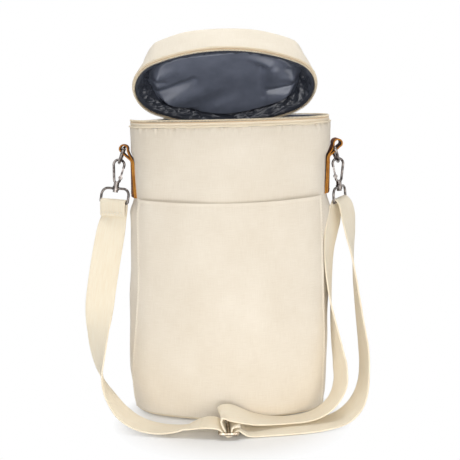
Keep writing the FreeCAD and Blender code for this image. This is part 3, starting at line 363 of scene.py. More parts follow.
@dataclass(frozen=True)
class LiningFilm:
    """Soft wipe-clean film with a muted shine and small creases; painted shade in the creases' valleys and,
    on the lid, over the gathered side wall.
    """

    name: str
    body: Colour = tone(128, 134, 152)
    # The crease tone is painted shade, mixed in where the bump's broad relief is low.
    crease: Colour = tone(88, 94, 107)
    # Painted shade over the lid film's flange and gathered side wall, out to a width across the sheet.
    painted_gusset_shade: Colour = tone(64, 68, 78)
    painted_shade_width: float = 0.0
    painted_shade_fade: float = 1.5 * MM

    def make(self) -> bpy.types.Material:
        """Build the material.

        Returns:
            The material.
        """
        recipe = Recipe(self.name)
        fine = recipe.noise(recipe.on_object((420.0,) * 3), 4.0, 0.6)
        broad = recipe.noise(recipe.on_object((60.0,) * 3), 3.0)
        _, deep = recipe.split(recipe.on_cloth())
        # Painted shade: where a width is given, the film is darker from its rim edge over that width.
        panel_share = ((deep - self.painted_shade_width) / self.painted_shade_fade).held()
        # Painted shade in the valleys: low broad noise, which also lowers the bump, gives the crease tone.
        colour = recipe.mix(panel_share, self.painted_gusset_shade, recipe.mix(broad, self.crease, self.body))
        return recipe.surface(
            Base_Color=colour, Roughness=0.26 + broad * 0.12 + fine * 0.06,
            Normal=recipe.bump(broad + fine * 0.18, 0.5 * MM), Specular_IOR_Level=0.7,
            Coat_Weight=0.2, Coat_Roughness=0.25)


@dataclass(frozen=True)
class TannedLeather:
    """Smooth tanned leather with a pebbled grain and worn spots."""

    name: str
    deep: Colour
    worn: Colour
    grain: float = 900.0
    wear_rate: float = 130.0

    def make(self) -> bpy.types.Material:
        """Build the material.

        Returns:
            The material.
        """
        recipe = Recipe(self.name)
        where = recipe.on_object((self.grain,) * 3)
        pebbles = recipe.node("ShaderNodeTexVoronoi", {}, {"Vector": where, "Scale": 1.0})
        cells = recipe.out(pebbles, "Distance")
        cloud = recipe.noise(recipe.on_object((self.wear_rate,) * 3), 4.0, 0.6)
        shade = ((cloud - 0.5) * 2.2 + 0.45).held()
        return recipe.surface(
            Base_Color=recipe.mix(shade, self.deep, self.worn), Roughness=0.55 + cloud * 0.25,
            Normal=recipe.bump(cells * 0.6 + cloud, 0.12 * MM), Specular_IOR_Level=0.18)


@dataclass(frozen=True)
class NickelPlate:
    """Nickel plate with painted reflections: light and dark clouds in its colour, and hairline scratches."""

    name: str
    painted_glint: Colour = tone(172, 164, 159)
    painted_dark_reflection: Colour = tone(62, 56, 54)
    painted_reflection_rate: float = 260.0
    scratch_rates: tuple[float, float, float] = (4200.0, 300.0, 900.0)

    def make(self) -> bpy.types.Material:
        """Build the material.

        Returns:
            The material.
        """
        recipe = Recipe(self.name)
        # Painted reflections: a sharpened cloud mixes dark and light tones into the plate's colour.
        cloud = recipe.noise(recipe.on_object((self.painted_reflection_rate,) * 3), 3.0)
        cloud = ((cloud - 0.5) * 2.6 + 0.42).held()
        hair = recipe.noise(recipe.on_object(self.scratch_rates), 2.0)
        return recipe.surface(
            Base_Color=recipe.mix(cloud, self.painted_dark_reflection, self.painted_glint), Metallic=1.0,
            Roughness=0.10 + cloud * 0.14 + hair * 0.05, Normal=recipe.bump(hair, 0.01 * MM))


@dataclass(frozen=True)
class PlainStock:
    """Thread, moulded or foamed stock of one colour with a fine grain."""

    name: str
    pale: Colour
    dark: Colour
    rough: float = 0.6
    grain: float = 700.0
    relief: float = 0.08 * MM

    def make(self) -> bpy.types.Material:
        """Build the material.

        Returns:
            The material.
        """
        recipe = Recipe(self.name)
        fine = recipe.noise(recipe.on_object((self.grain,) * 3), 3.0)
        return recipe.surface(
            Base_Color=recipe.mix(fine, self.dark, self.pale), Roughness=self.rough + fine * 0.12,
            Normal=recipe.bump(fine, self.relief))


class Finishes:
    """Every material of the carrier, made once."""

    def __init__(self) -> None:
        """Build all the finishes."""
        self.canvas = WovenCloth("cotton_canvas", tone(245, 237, 223), tone(224, 212, 193)).make()
        self.lid_canvas = WovenCloth("lid_canvas", tone(243, 235, 220), tone(225, 214, 194)).make()
        self.trim = WovenCloth("bias_trim", tone(250, 240, 220), tone(228, 211, 180), turn=math.pi / 4).make()
        # The tape's tan edges are tan stitching and painted groove shade.
        self.tape = ZipTapeCloth("zip_tape_cloth", tone(251, 240, 220), tone(236, 220, 194),
                                 pitch=0.6 * MM).make()
        self.coil = PlainStock("zip_coil_nylon", tone(246, 236, 214), tone(232, 216, 186), 0.45).make()
        self.lining = LiningFilm("lining_film").make()
        # The lid's film, with 33 mm of painted shade over its flange and gathered side wall.
        self.lid_lining = LiningFilm("lid_lining_film", painted_shade_width=33 * MM).make()
        self.webbing = WebbingCloth("strap_webbing", tone(254, 246, 226), tone(246, 230, 202), 29 * MM).make()
        self.leather = TannedLeather("leather_face", tone(74, 34, 10), tone(116, 62, 24)).make()
        self.leather_edge = TannedLeather("leather_cut_edge", tone(160, 98, 34), tone(205, 146, 66)).make()
        # Both plates carry painted reflections, as light and dark clouds in their colour.
        self.nickel = NickelPlate("nickel_plate").make()
        self.pale_plate = NickelPlate("pale_nickel_plate", tone(226, 214, 196), tone(150, 136, 118)).make()
        self.thread = PlainStock("sewing_thread", tone(255, 252, 244), tone(240, 228, 206), 0.7,
                                 2500.0).make()
        self.tan_thread = PlainStock("tan_thread", tone(206, 152, 84), tone(160, 104, 44), 0.7, 2500.0).make()
        self.foam = PlainStock("insulating_foam", tone(236, 234, 226), tone(212, 210, 202), 0.8).make()
        self.board = PlainStock("base_board_stock", tone(90, 88, 84), tone(66, 64, 62), 0.7).make()


# Meshes


def deselect() -> None:
    """Leave edit mode and select nothing."""
    if bpy.context.object and bpy.context.object.mode != "OBJECT":
        bpy.ops.object.mode_set(mode="OBJECT")
    bpy.ops.object.select_all(action="DESELECT")


def activate(piece: bpy.types.Object) -> None:
    """Select one piece alone and make it the active one."""
    deselect()
    piece.select_set(True)
    bpy.context.view_layer.objects.active = piece


def points_of(piece: bpy.types.Object) -> np.ndarray:
    """A mesh's points as an array of rows."""
    flat = np.zeros(len(piece.data.vertices) * 3)
    piece.data.vertices.foreach_get("co", flat)
    return flat.reshape(-1, 3)


def move_points(piece: bpy.types.Object, points: np.ndarray) -> None:
    """Put a mesh's points at an array of rows."""
    piece.data.vertices.foreach_set("co", np.ascontiguousarray(points, dtype=np.float32).ravel())
    piece.data.update()


def edit(piece: bpy.types.Object, *steps: Callable[[], object]) -> None:
    """Run mesh operators on all of a piece in edit mode.

    Args:
        piece: the piece.
        steps: calls without arguments, run in order.
    """
    activate(piece)
    bpy.ops.object.mode_set(mode="EDIT")
    bpy.ops.mesh.select_all(action="SELECT")
    for step in steps:
        step()
    bpy.ops.object.mode_set(mode="OBJECT")


class Closing(Enum):
    """How near to each other points are merged: where two edges meet, or all round a middle."""

    SEAM = 1e-6
    POLE = 1e-5


def weld(piece: bpy.types.Object, closing: Closing = Closing.SEAM) -> None:
    """Merge points that lie on each other and face everything outwards."""
    edit(piece, lambda: bpy.ops.mesh.remove_doubles(threshold=closing.value),
         lambda: bpy.ops.mesh.normals_make_consistent(inside=False))


def apply_modifier(piece: bpy.types.Object, kind: str, **settings: object) -> None:
    """Add a modifier and apply it.

    Args:
        piece: the piece.
        kind: the modifier's type.
        settings: its properties.
    """
    activate(piece)
    modifier = piece.modifiers.new(kind.lower(), kind)
    for name, value in settings.items():
        setattr(modifier, name, value)
    bpy.ops.object.modifier_apply(modifier=modifier.name)


def smooth(piece: bpy.types.Object, angle: float = math.radians(50)) -> None:
    """Shade smooth, with creases kept sharp past an angle."""
    activate(piece)
    bpy.ops.object.shade_smooth_by_angle(angle=angle)


def sheet(name: str, columns: int, rows: int, place: Placing, size: tuple[float, float]) -> bpy.types.Object:
    """A cloth panel: a grid whose points are put by a function of two shares.

    Args:
        name: the piece's name.
        columns: divisions along the first direction.
        rows: divisions along the second.
        place: gives rows of points for arrays of the two shares.
        size: the panel's width and height in metres, for its cloth map.

    Returns:
        The panel, with its cloth map in metres.
    """
    deselect()
    bpy.ops.mesh.primitive_grid_add(x_subdivisions=columns, y_subdivisions=rows, size=1.0)
    piece = bpy.context.object
    piece.name = name
    piece.data.name = name
    flat = points_of(piece)
    shares = flat[:, :2] + 0.5
    cloth = piece.data.uv_layers.active
    cloth.name = CLOTH_UV
    corners = np.zeros(len(piece.data.loops), dtype=np.int64)
    piece.data.loops.foreach_get("vertex_index", corners)
    cloth.data.foreach_set("uv", (shares[corners] * np.array(size)).astype(np.float32).ravel())
    move_points(piece, place(shares[:, 0], shares[:, 1]))
    return piece


def thicken(piece: bpy.types.Object, thickness: float, offset: float = -1.0, rim_slot: int = 0,
            even: bool = True) -> None:
    """Give a panel its thickness, even at gentle folds, and its rim its own material slot where asked."""
    apply_modifier(piece, "SOLIDIFY", thickness=thickness, offset=offset, material_offset_rim=rim_slot,
                   use_even_offset=even)


def tube(name: str, points: np.ndarray, radius: float, closed: bool, sides: int = 3) -> bpy.types.Object:
    """A round cord along points.

    Args:
        name: the piece's name.
        points: rows of points.
        radius: the cord's radius.
        closed: join the ends.
        sides: the bevel's resolution; a cord has twice that many sides and two more.

    Returns:
        The cord as a mesh.
    """
    deselect()
    curve = bpy.data.curves.new(name, "CURVE")
    curve.dimensions = "3D"
    curve.bevel_depth = radius
    curve.bevel_resolution = sides
    curve.use_fill_caps = not closed
    line = curve.splines.new("POLY")
    line.points.add(len(points) - 1)
    line.points.foreach_set("co", np.column_stack([points, np.ones(len(points))]).ravel())
    line.use_cyclic_u = closed
    piece = bpy.data.objects.new(name, curve)
    bpy.context.scene.collection.objects.link(piece)
    activate(piece)
    bpy.ops.object.convert(target="MESH")
    piece = bpy.context.object
    piece.data.name = name
    cloth = piece.data.uv_layers.active or piece.data.uv_layers.new(name=CLOTH_UV)
    cloth.name = CLOTH_UV
    weld(piece)
    smooth(piece)
    return piece


def run_of(points: np.ndarray) -> np.ndarray:
    """How far along a line each of its points lies."""
    return np.concatenate([[0.0], np.cumsum(np.linalg.norm(np.diff(points, axis=0), axis=1))])


def read_along(places: np.ndarray, run: np.ndarray, rows: np.ndarray) -> np.ndarray:
    """Rows read off at places along a run at which they are known."""
    return np.column_stack([np.interp(places, run, column) for column in rows.T])


def unit(rows: np.ndarray) -> np.ndarray:
    """Rows of directions, each of length 1."""
    return rows / np.linalg.norm(rows, axis=1)[:, None]


def stitches(name: str, points: np.ndarray, normals: np.ndarray, pitch: float, length: float,
             radius: float) -> bpy.types.Object:
    """A row of stitches: one small bead, copied along a line.

    Args:
        name: the piece's name.
        points: rows of points on the cloth.
        normals: the cloth's outward directions there.
        pitch: from one stitch to the next.
        length: a stitch's length.
        radius: the thread's radius.

    Returns:
        All the stitches in one mesh.
    """
    deselect()
    bpy.ops.mesh.primitive_uv_sphere_add(segments=6, ring_count=5, radius=1.0)
    bead = bpy.context.object
    shape = points_of(bead)
    faces = [tuple(p.vertices) for p in bead.data.polygons]
    bpy.data.objects.remove(bead)
    run = run_of(points)
    count = max(2, int(run[-1] / pitch))
    places = (np.arange(count) + 0.5) * run[-1] / count
    centres = read_along(places, run, points)
    outs = read_along(places, run, normals)
    steps = read_along(places + 0.2 * pitch, run, points) - read_along(places - 0.2 * pitch, run, points)
    rows, polygons = [], []
    for i in range(count):
        ahead = Vector(steps[i]).normalized()
        wide = ahead.cross(Vector(outs[i]).normalized()).normalized()
        out = wide.cross(ahead)
        axes = np.array([wide * radius, out * radius * 0.8, ahead * length / 2])
        rows.append(shape @ axes + centres[i] + np.array(out) * radius * 0.35)
        polygons += [tuple(v + i * len(shape) for v in face) for face in faces]
    mesh = bpy.data.meshes.new(name)
    mesh.from_pydata(np.vstack(rows).tolist(), [], polygons)
    piece = bpy.data.objects.new(name, mesh)
    bpy.context.scene.collection.objects.link(piece)
    smooth(piece, math.pi)
    return piece


def with_finish(piece: bpy.types.Object, *materials: bpy.types.Material) -> None:
    """Give a mesh its material slots."""
    for material in materials:
        piece.data.materials.append(material)


def dress(piece: bpy.types.Object, body: str | None, slot: str, *materials: bpy.types.Material,
          stands_for: Sequence[str] = ()) -> None:
    """Give a piece its materials and its body, and hide the nodes that it stands for.

    Args:
        piece: the finished mesh.
        body: the body that it rides on, or None where it is blended already.
        slot: the record's material slot, which is not used here.
        materials: finishes, where it has none yet.
        stands_for: nodes that it replaces.
    """
    with_finish(piece, *materials)
    if body is not None:
        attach(piece, body)
    if stands_for:
        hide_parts(*stands_for)
    LOG.info("%s: %d faces", piece.name, len(piece.data.polygons))


def panel(name: str, grid: tuple[int, int], place: Placing, size: tuple[float, float], thickness: float,
          body: str, slot: str, finish: bpy.types.Material, stands_for: Sequence[str],
          closing: Closing | None = None, offset: float = -1.0) -> None:
    """A finished piece of cloth, foam or film that rides on one body.

    Args:
        name: the piece's name.
        grid: divisions along its two directions.
        place: gives rows of points for arrays of two shares.
        size: its width and height in metres, for its cloth map.
        thickness: its thickness.
        body: the body that it rides on.
        slot: the record's material slot.
        finish: its material.
        stands_for: nodes that it replaces.
        closing: how it closes on itself, or None where it is open.
        offset: where its thickness lies, from -1 behind the points to 0 about them.
    """
    piece = sheet(name, *grid, place, size)
    if closing is not None:
        weld(piece, closing)
    thicken(piece, thickness, offset)
    smooth(piece)
    dress(piece, body, slot, finish, stands_for=stands_for)


def waves(seed: int, count: int, low: float, high: float) -> Placing:
    """Smooth random relief on a plane, as a sum of waves.

    Args:
        seed: fixes the relief.
        count: how many waves.
        low: the longest wavelength's rate, in turns per metre.
        high: the shortest wavelength's rate.

    Returns:
        A function of two arrays in metres that gives heights of about unit size.
    """
    draw = np.random.default_rng(seed)
    angle = draw.uniform(0, FULL_TURN, count)
    rate = np.exp(draw.uniform(math.log(low), math.log(high), count)) * FULL_TURN
    phase = draw.uniform(0, FULL_TURN, count)
    size = (rate / rate.min()) ** -0.8

    def height(x: np.ndarray, y: np.ndarray) -> np.ndarray:
        """The relief's height at two coordinates."""
        total = np.zeros_like(x)
        for a, r, p, s in zip(angle, rate, phase, size):
            total += s * np.sin(r * (x * math.cos(a) + y * math.sin(a)) + p)
        return total / math.sqrt((size ** 2).sum() / 2)
    return height


def ease(value: np.ndarray, low: float, high: float) -> np.ndarray:
    """A smooth step from 0 at low to 1 at high."""
    share = np.clip((value - low) / (high - low), 0.0, 1.0)
    return share * share * (3.0 - 2.0 * share)


@dataclass(frozen=True)
class OvalPlan:
    """The carrier's plan: two end arcs and two long arcs that meet without a corner."""

    half_width: float = 100 * MM
    half_depth: float = 55 * MM
    end_radius: float = 42 * MM

    @property
    def centres(self) -> tuple[float, float, float]:
        """The end arcs' distance, the long arcs' distance, and the angle where they meet."""
        across = self.half_width - self.end_radius
        depth, end = self.half_depth, self.end_radius
        behind = (across ** 2 + depth ** 2 - end ** 2) / (2 * depth - 2 * end) - depth
        return across, behind, math.atan2(behind, across)

    @property
    def marks(self) -> tuple[np.ndarray, np.ndarray]:
        """Lengths run at the arcs' ends, from the back's middle, and the normals' angles there.

        Returns:
            An array of lengths and an array of angles.
        """
        _, behind, turn = self.centres
        long, end, quarter = behind + self.half_depth, self.end_radius, math.pi / 2
        angles = np.array([quarter, math.pi - turn, math.pi + turn, 2 * math.pi - turn,
                           2 * math.pi + turn, 2 * math.pi + quarter])
        radii = np.array([long, end, long, end, long])
        return np.concatenate([[0.0], np.cumsum(np.diff(angles) * radii)]), angles

    @property
    def length(self) -> float:
        """The outline's length."""
        return float(self.marks[0][-1])

    def share_at(self, angle: float) -> float:
        """The share of the way round at which the outline faces an angle."""
        lengths, angles = self.marks
        return float(np.interp(angle, angles, lengths) / lengths[-1])

    def at(self, share: np.ndarray, out: np.ndarray | float = 0.0) -> tuple[np.ndarray, np.ndarray]:
        """Points round the outline, moved outwards.

        Args:
            share: shares of the way round, from the back's middle by the left end.
            out: how far outside the outline.

        Returns:
            Rows of X and Y, and rows of the outward direction.
        """
        across, behind, turn = self.centres
        lengths, angles = self.marks
        angle = np.interp(share, lengths / lengths[-1], angles)
        facing = np.column_stack([np.cos(angle), np.sin(angle)])
        at_end = np.abs(facing[:, 0]) > math.cos(turn)
        centre = np.where(at_end[:, None], np.column_stack([np.sign(facing[:, 0]) * across, 0 * angle]),
                          np.column_stack([0 * angle, -np.sign(facing[:, 1]) * behind]))
        radius = np.where(at_end, self.end_radius, behind + self.half_depth) + out
        return centre + facing * radius[:, None], facing

    def wall(self, share: np.ndarray, out: np.ndarray | float, height: np.ndarray | float) -> np.ndarray:
        """Rows of points round the outline, moved outwards, at heights."""
        return np.column_stack([self.at(share, out)[0], np.broadcast_to(height, share.shape)])


PLAN = OvalPlan()


def off_seam(share: np.ndarray) -> np.ndarray:
    """How much relief cloth has at shares of the way round: none where it closes on itself at the back."""
    return ease(np.minimum(share, 1 - share), 0.0, 0.05)


@dataclass(frozen=True)
class SoftStand:
    """How the soft bag has settled: swollen ends, a rim that leans, and a side drawn in under each tab."""

    left_swell: float = 3.2 * MM
    right_swell: float = 3.0 * MM
    left_draw: float = 3.5 * MM
    right_draw: float = 1.2 * MM
    tab_low: float = 222 * MM
    tab_high: float = 257 * MM
    tab_reach: float = 30 * MM
    lean: float = 0.023
    back_dip: float = 2.6 * MM
    rim: float = 300 * MM

    def settle(self, points: np.ndarray) -> np.ndarray:
        """Move points of the bag as drawn to where the standing bag has them.

        Args:
            points: rows of points.

        Returns:
            Rows of moved points.
        """
        x, y, z = points.T
        drawn = ease(z, self.tab_low - 17 * MM, self.tab_low) * np.exp(-(y / self.tab_reach) ** 4)
        drawn = drawn * (1 - ease(z, self.tab_high, self.tab_high + 13 * MM))
        left = self.left_swell * ease(z, 4 * MM, 44 * MM) * (1 - ease(z, 205 * MM, 245 * MM))
        left = left * (1 - 0.45 * ease(z, 100 * MM, 150 * MM))
        right = self.right_swell * ease(z, 12 * MM, 78 * MM) * (1 - 0.6 * ease(z, 286 * MM, self.rim))
        swell = np.where(x < 0, -left, right) * (1 - drawn)
        swell = swell + np.where(x < 0, self.left_draw, -self.right_draw) * drawn
        high = np.clip(z / self.rim, 0.0, 1.05)
        dip = self.back_dip * ease(-x, 40 * MM, 90 * MM) * ease(y, -8 * MM, 22 * MM) * high ** 4
        moved = points.copy()
        moved[:, 0] += swell * (x / PLAN.half_width) ** 2
        moved[:, 2] += self.lean * x * high - dip
        return moved


STAND = SoftStand()


# The bag


def foot_out(height: np.ndarray, low: float) -> np.ndarray:
    """How far canvas with a low edge stands out near the foot: wider, and tucked in at the base."""
    tuck = 1.5 * MM * (1 - ease(height, low, 17 * MM)) ** 1.5
    return 1.0 * MM * (1 - ease(height, 20 * MM, 200 * MM)) - tuck


@dataclass
class HalfZip:
    """Half of the zip round a rim: its tape, the welt along the tape, and its coil."""

    finishes: Finishes
    body: str
    edge: str
    carry: Moving
    tape_low: float
    tape_height: float
    belly: float
    roll: tuple[float, float]
    welt_height: float
    coil_height: float
    inset: float = 0.0
    wander: float = 0.0
    gap: float = 52 * MM
    stations: int = 420
    tape: float = 0.7 * MM
    tape_inset: float = 1.45 * MM
    welt_radius: float = 0.95 * MM
    welt_inset: float = 0.35 * MM
    coil_inset: float = 1.55 * MM
    coil_pitch: float = 1.35 * MM
    coil_tall: float = 0.72 * MM
    coil_deep: float = 0.62 * MM
    coil_thread: float = 0.34 * MM
    coil_steps: int = 8

    @property
    def shares(self) -> np.ndarray:
        """Shares of the way round from one end of the zip to the other, clear of the hinge."""
        start = self.gap / PLAN.length
        return np.linspace(start, 1 - start, self.stations)

    def tape_points(self, u: np.ndarray, v: np.ndarray) -> np.ndarray:
        """The tape's outside, which bellies out along its rolled edge.

        Args:
            u: shares of its length.
            v: shares of its height.

        Returns:
            Rows of points.
        """
        start = self.gap / PLAN.length
        first, last = self.roll
        belly = self.belly * np.sin(math.pi * np.clip((v - first) / (last - first), 0, 1))
        out = belly - self.inset - self.tape_inset
        return self.carry(PLAN.wall(start + (1 - 2 * start) * u, out, self.tape_low + self.tape_height * v))

    def coil_points(self) -> np.ndarray:
        """The line of a thread that is wound into a coil, before it is carried to its place.

        Returns:
            Rows of points.
        """
        first, last = self.shares[0], self.shares[-1]
        count = int((last - first) * PLAN.length / self.coil_pitch) * self.coil_steps + 1
        angle = FULL_TURN * np.arange(count) / self.coil_steps
        out = self.coil_deep * np.cos(angle) - self.inset - self.coil_inset
        height = self.coil_height + self.coil_tall * np.sin(angle)
        return PLAN.wall(np.linspace(first, last, count), out, height)

    def build(self) -> None:
        """Make the tape, the welt and the coil."""
        panel("zip_tape_%s_cloth" % self.body, (self.stations, 10), self.tape_points,
              (PLAN.length - 2 * self.gap, self.tape_height), self.tape, self.body, "zip_tape",
              self.finishes.tape, ["zip_tape_" + self.body])
        shares = self.shares
        wander = self.wander * waves(53, 8, 20.0, 110.0)(shares * PLAN.length, 0 * shares)
        line = self.carry(PLAN.wall(shares, -self.inset - self.welt_inset, self.welt_height + wander))
        welt = tube(self.edge + "_welt_cord", line, self.welt_radius, False, 4)
        dress(welt, self.body, "trim", self.finishes.trim, stands_for=[self.edge + "_welt"])
        coil = tube("zip_coil_%s_turns" % self.body, self.coil_points(), self.coil_thread, False, 0)
        move_points(coil, self.carry(points_of(coil)))
        dress(coil, self.body, "zip_coil", self.finishes.coil, stands_for=["zip_coil_" + self.body])


@dataclass
class Bag:
    """The standing part: canvas wall, base, piping, foam, lining, divider and rim."""

    finishes: Finishes
    canvas_top: float = 292.1 * MM
    canvas_low: float = 3.0 * MM
    canvas: float = 1.2 * MM
    cloth_height: float = 288 * MM
    pucker: float = 0.5 * MM
    pucker_pitch: float = 6.5 * MM
    lump: float = 0.7 * MM
    foam_low: float = 9.0 * MM
    foam_height: float = 258.0 * MM
    foam_inset: float = 3.2 * MM
    foam: float = 3.0 * MM
    film: float = 0.5 * MM
    film_inset: float = 8.2 * MM
    film_rim_inset: float = 3.9 * MM
    film_top: float = 298.4 * MM
    film_loose: float = 0.8 * MM
    padding_end: tuple[float, float] = (264 * MM, 280 * MM)
    back_give: float = 6.0 * MM
    back_reach: tuple[float, float] = (50 * MM, 66 * MM)
    floor_height: float = 9.4 * MM
    floor_dent: float = 0.35 * MM
    piping_radius: float = 1.5 * MM
    piping_inset: float = 1.8 * MM
    stitch_height: float = 294.9 * MM

    def give(self, share: np.ndarray) -> np.ndarray:
        """How far the lining gives way at the back, where the lid hangs."""
        run = np.minimum(share, 1 - share) * PLAN.length
        return self.back_give * (1 - ease(run, *self.back_reach))

    def wall_out(self, share: np.ndarray, height: np.ndarray) -> np.ndarray:
        """How far the canvas stands outside the plan.

        Args:
            share: shares of the way round.
            height: heights above the floor.

        Returns:
            Distances in metres.
        """
        run = share * PLAN.length
        below = self.canvas_top - height
        lumps = self.lump * waves(7, 14, 4.0, 22.0)(run, height)
        lumps = lumps * ease(height, 0.0, 40 * MM) * (1 - ease(height, 250 * MM, 290 * MM))
        gather = waves(11, 10, 0.6 / self.pucker_pitch, 1.6 / self.pucker_pitch)
        puckers = self.pucker * gather(run, 0 * run) * np.exp(-below / (3.2 * MM))
        seam = 0.5 * MM * np.exp(-below / (1.2 * MM))
        taper = 0.8 * MM * ease(height, 220 * MM, 300 * MM)
        return (lumps + puckers) * off_seam(share) + foot_out(height, self.canvas_low) - seam - taper

    def wall_points(self, u: np.ndarray, v: np.ndarray) -> np.ndarray:
        """The canvas wall's outside, for shares of the way round and of its height."""
        height = self.canvas_low + (self.canvas_top - self.canvas_low) * (1 - (1 - v) ** 1.5)
        return STAND.settle(PLAN.wall(u, self.wall_out(u, height), height))

    def foam_points(self, u: np.ndarray, v: np.ndarray) -> np.ndarray:
        """The wall foam's outside, for shares of the way round and of its height."""
        return STAND.settle(PLAN.wall(u, -self.foam_inset, self.foam_low + self.foam_height * v))

    def build_wall(self) -> None:
        """The outside canvas, with its foam behind it."""
        size = (PLAN.length, self.cloth_height)
        panel("canvas_wall_cloth", (480, 150), self.wall_points, size, self.canvas,
              "bag", "canvas", self.finishes.canvas, ["canvas_wall"], Closing.SEAM)
        panel("wall_foam_core", (96, 12), self.foam_points, size, self.foam,
              "bag", "foam", self.finishes.foam, ["wall_foam"], Closing.SEAM)

    def disc_points(self, inset: float, height: float, u: np.ndarray, v: np.ndarray) -> np.ndarray:
        """A flat disc at a height, for shares of the way round and of the way to its middle."""
        flat, _ = PLAN.at(u, -inset)
        return np.column_stack([flat * (1 - v)[:, None], np.full(len(u), height)])

    def build_base(self) -> None:
        """The canvas base with its foam, board and piping."""
        size = (PLAN.length, PLAN.half_depth)
        panel("base_canvas_cloth", (160, 24), partial(self.disc_points, 4.0 * MM, 1.2 * MM), size, 1.15 * MM,
              "bag", "canvas", self.finishes.canvas, ["canvas_base"], Closing.POLE)
        panel("base_foam_core", (160, 24), partial(self.disc_points, 3.6 * MM, 8.4 * MM), size, 4.8 * MM,
              "bag", "foam", self.finishes.foam, ["base_foam"], Closing.POLE)
        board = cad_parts["base_board"]
        board.data.materials.clear()
        with_finish(board, self.finishes.board)
        ring = PLAN.wall(np.arange(360) / 360, -self.piping_inset, self.piping_radius + 0.1 * MM)
        ring[:, 2] += 0.12 * MM * waves(23, 8, 6.0, 40.0)(ring[:, 0], ring[:, 1])
        piping = tube("base_piping_cord", ring, self.piping_radius, True, 4)
        dress(piping, "bag", "trim", self.finishes.trim, stands_for=["base_piping"])

    def crumple(self, x: np.ndarray, y: np.ndarray) -> np.ndarray:
        """The film's small unevenness at two coordinates."""
        return waves(31, 26, 12.0, 90.0)(x, y)

    def film_points(self, u: np.ndarray, v: np.ndarray) -> np.ndarray:
        """The wall's lining, which lies loose over the foam and close to the canvas above it.

        Args:
            u: shares of the way round.
            v: shares of the way down.

        Returns:
            Rows of points.
        """
        brim = self.film_top - self.give(u)
        height = self.floor_height + (brim - self.floor_height) * (1 - np.clip((v - 0.03) / 0.97, 0, 1))
        padded = 1 - ease(height, *self.padding_end)
        loose = self.film_loose * (self.crumple(u * PLAN.length, height) - 1.2)
        loose = loose * padded * (1 - ease(v, 0.9, 1.0)) * off_seam(u)
        out = loose - self.film_rim_inset - (self.film_inset - self.film_rim_inset) * padded
        return STAND.settle(PLAN.wall(u, out, height))

    def floor_points(self, u: np.ndarray, v: np.ndarray) -> np.ndarray:
        """The floor's lining, with shallow dents.

        Args:
            u: shares of the way round.
            v: shares of the way to its middle.

        Returns:
            Rows of points.
        """
        plan = PLAN.at(u, -self.film_inset - 0.6 * MM)[0] * (1 - v)[:, None]
        dent = self.floor_dent * self.crumple(plan[:, 0], plan[:, 1]) * ease(v, 0.0, 0.1)
        return np.column_stack([plan, self.floor_height - 0.2 * MM + dent])

    def build_inside(self) -> None:
        """The lining of the wall and floor."""
        panel("wall_lining_film", (300, 90), self.film_points, (PLAN.length, 290 * MM), self.film,
              "bag", "lining", self.finishes.lining, ["wall_lining"], Closing.SEAM, 0.0)
        panel("base_lining_film", (160, 40), self.floor_points, (PLAN.length, 50 * MM), self.film,
              "bag", "lining", self.finishes.lining, ["base_lining"], Closing.POLE)

    def build_divider(self) -> None:
        """The padded wall between the bottles: a block with rounded edges, divided and creased."""
        low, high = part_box("bottle_divider")
        size = high - low
        deselect()
        bpy.ops.mesh.primitive_cube_add(size=1.0, location=(low + high) / 2)
        pad = bpy.context.object
        pad.name = "divider_pad"
        pad.scale = (size.x - 1.0 * MM, size.y - 2.0 * MM, size.z - 1.0 * MM)
        bpy.ops.object.transform_apply(location=True, rotation=False, scale=True)
        edit(pad, lambda: bpy.ops.mesh.bevel(offset=2.2 * MM, segments=4, profile=0.6),
             lambda: bpy.ops.mesh.subdivide(number_cuts=12))
        points = points_of(pad)
        swell = np.sin(math.pi * np.clip((points[:, 2] - low.z) / size.z, 0, 1))
        crease = waves(41, 12, 8.0, 40.0)(points[:, 1], points[:, 2])
        points[:, 0] += 0.35 * MM * crease * swell * np.sign(points[:, 0])
        move_points(pad, points)
        weld(pad)
        smooth(pad)
        dress(pad, "bag", "lining", self.finishes.lining, stands_for=["bottle_divider"])

    def build_rim(self) -> None:
        """The bag's half of the zip, and the stitches that hold its tape."""
        half = HalfZip(self.finishes, "bag", "rim", STAND.settle, tape_low=292.4 * MM, tape_height=5.4 * MM,
                       belly=0.55 * MM, roll=(0.35, 1.0), welt_height=293.1 * MM, coil_height=298.9 * MM,
                       wander=0.15 * MM)
        half.build()
        flat, facing = PLAN.at(half.shares, -1.0 * MM)
        level_out = np.column_stack([facing, 0 * half.shares])
        line = STAND.settle(np.column_stack([flat, np.full(len(flat), self.stitch_height)]))
        row = stitches("rim_tape_stitches", line, level_out, 2.6 * MM, 1.9 * MM, 0.2 * MM)
        dress(row, "bag", "trim", self.finishes.thread)

    def build(self) -> None:
        """Make every piece of the bag."""
        self.build_wall()
        self.build_base()
        self.build_inside()
        self.build_divider()
        self.build_rim()


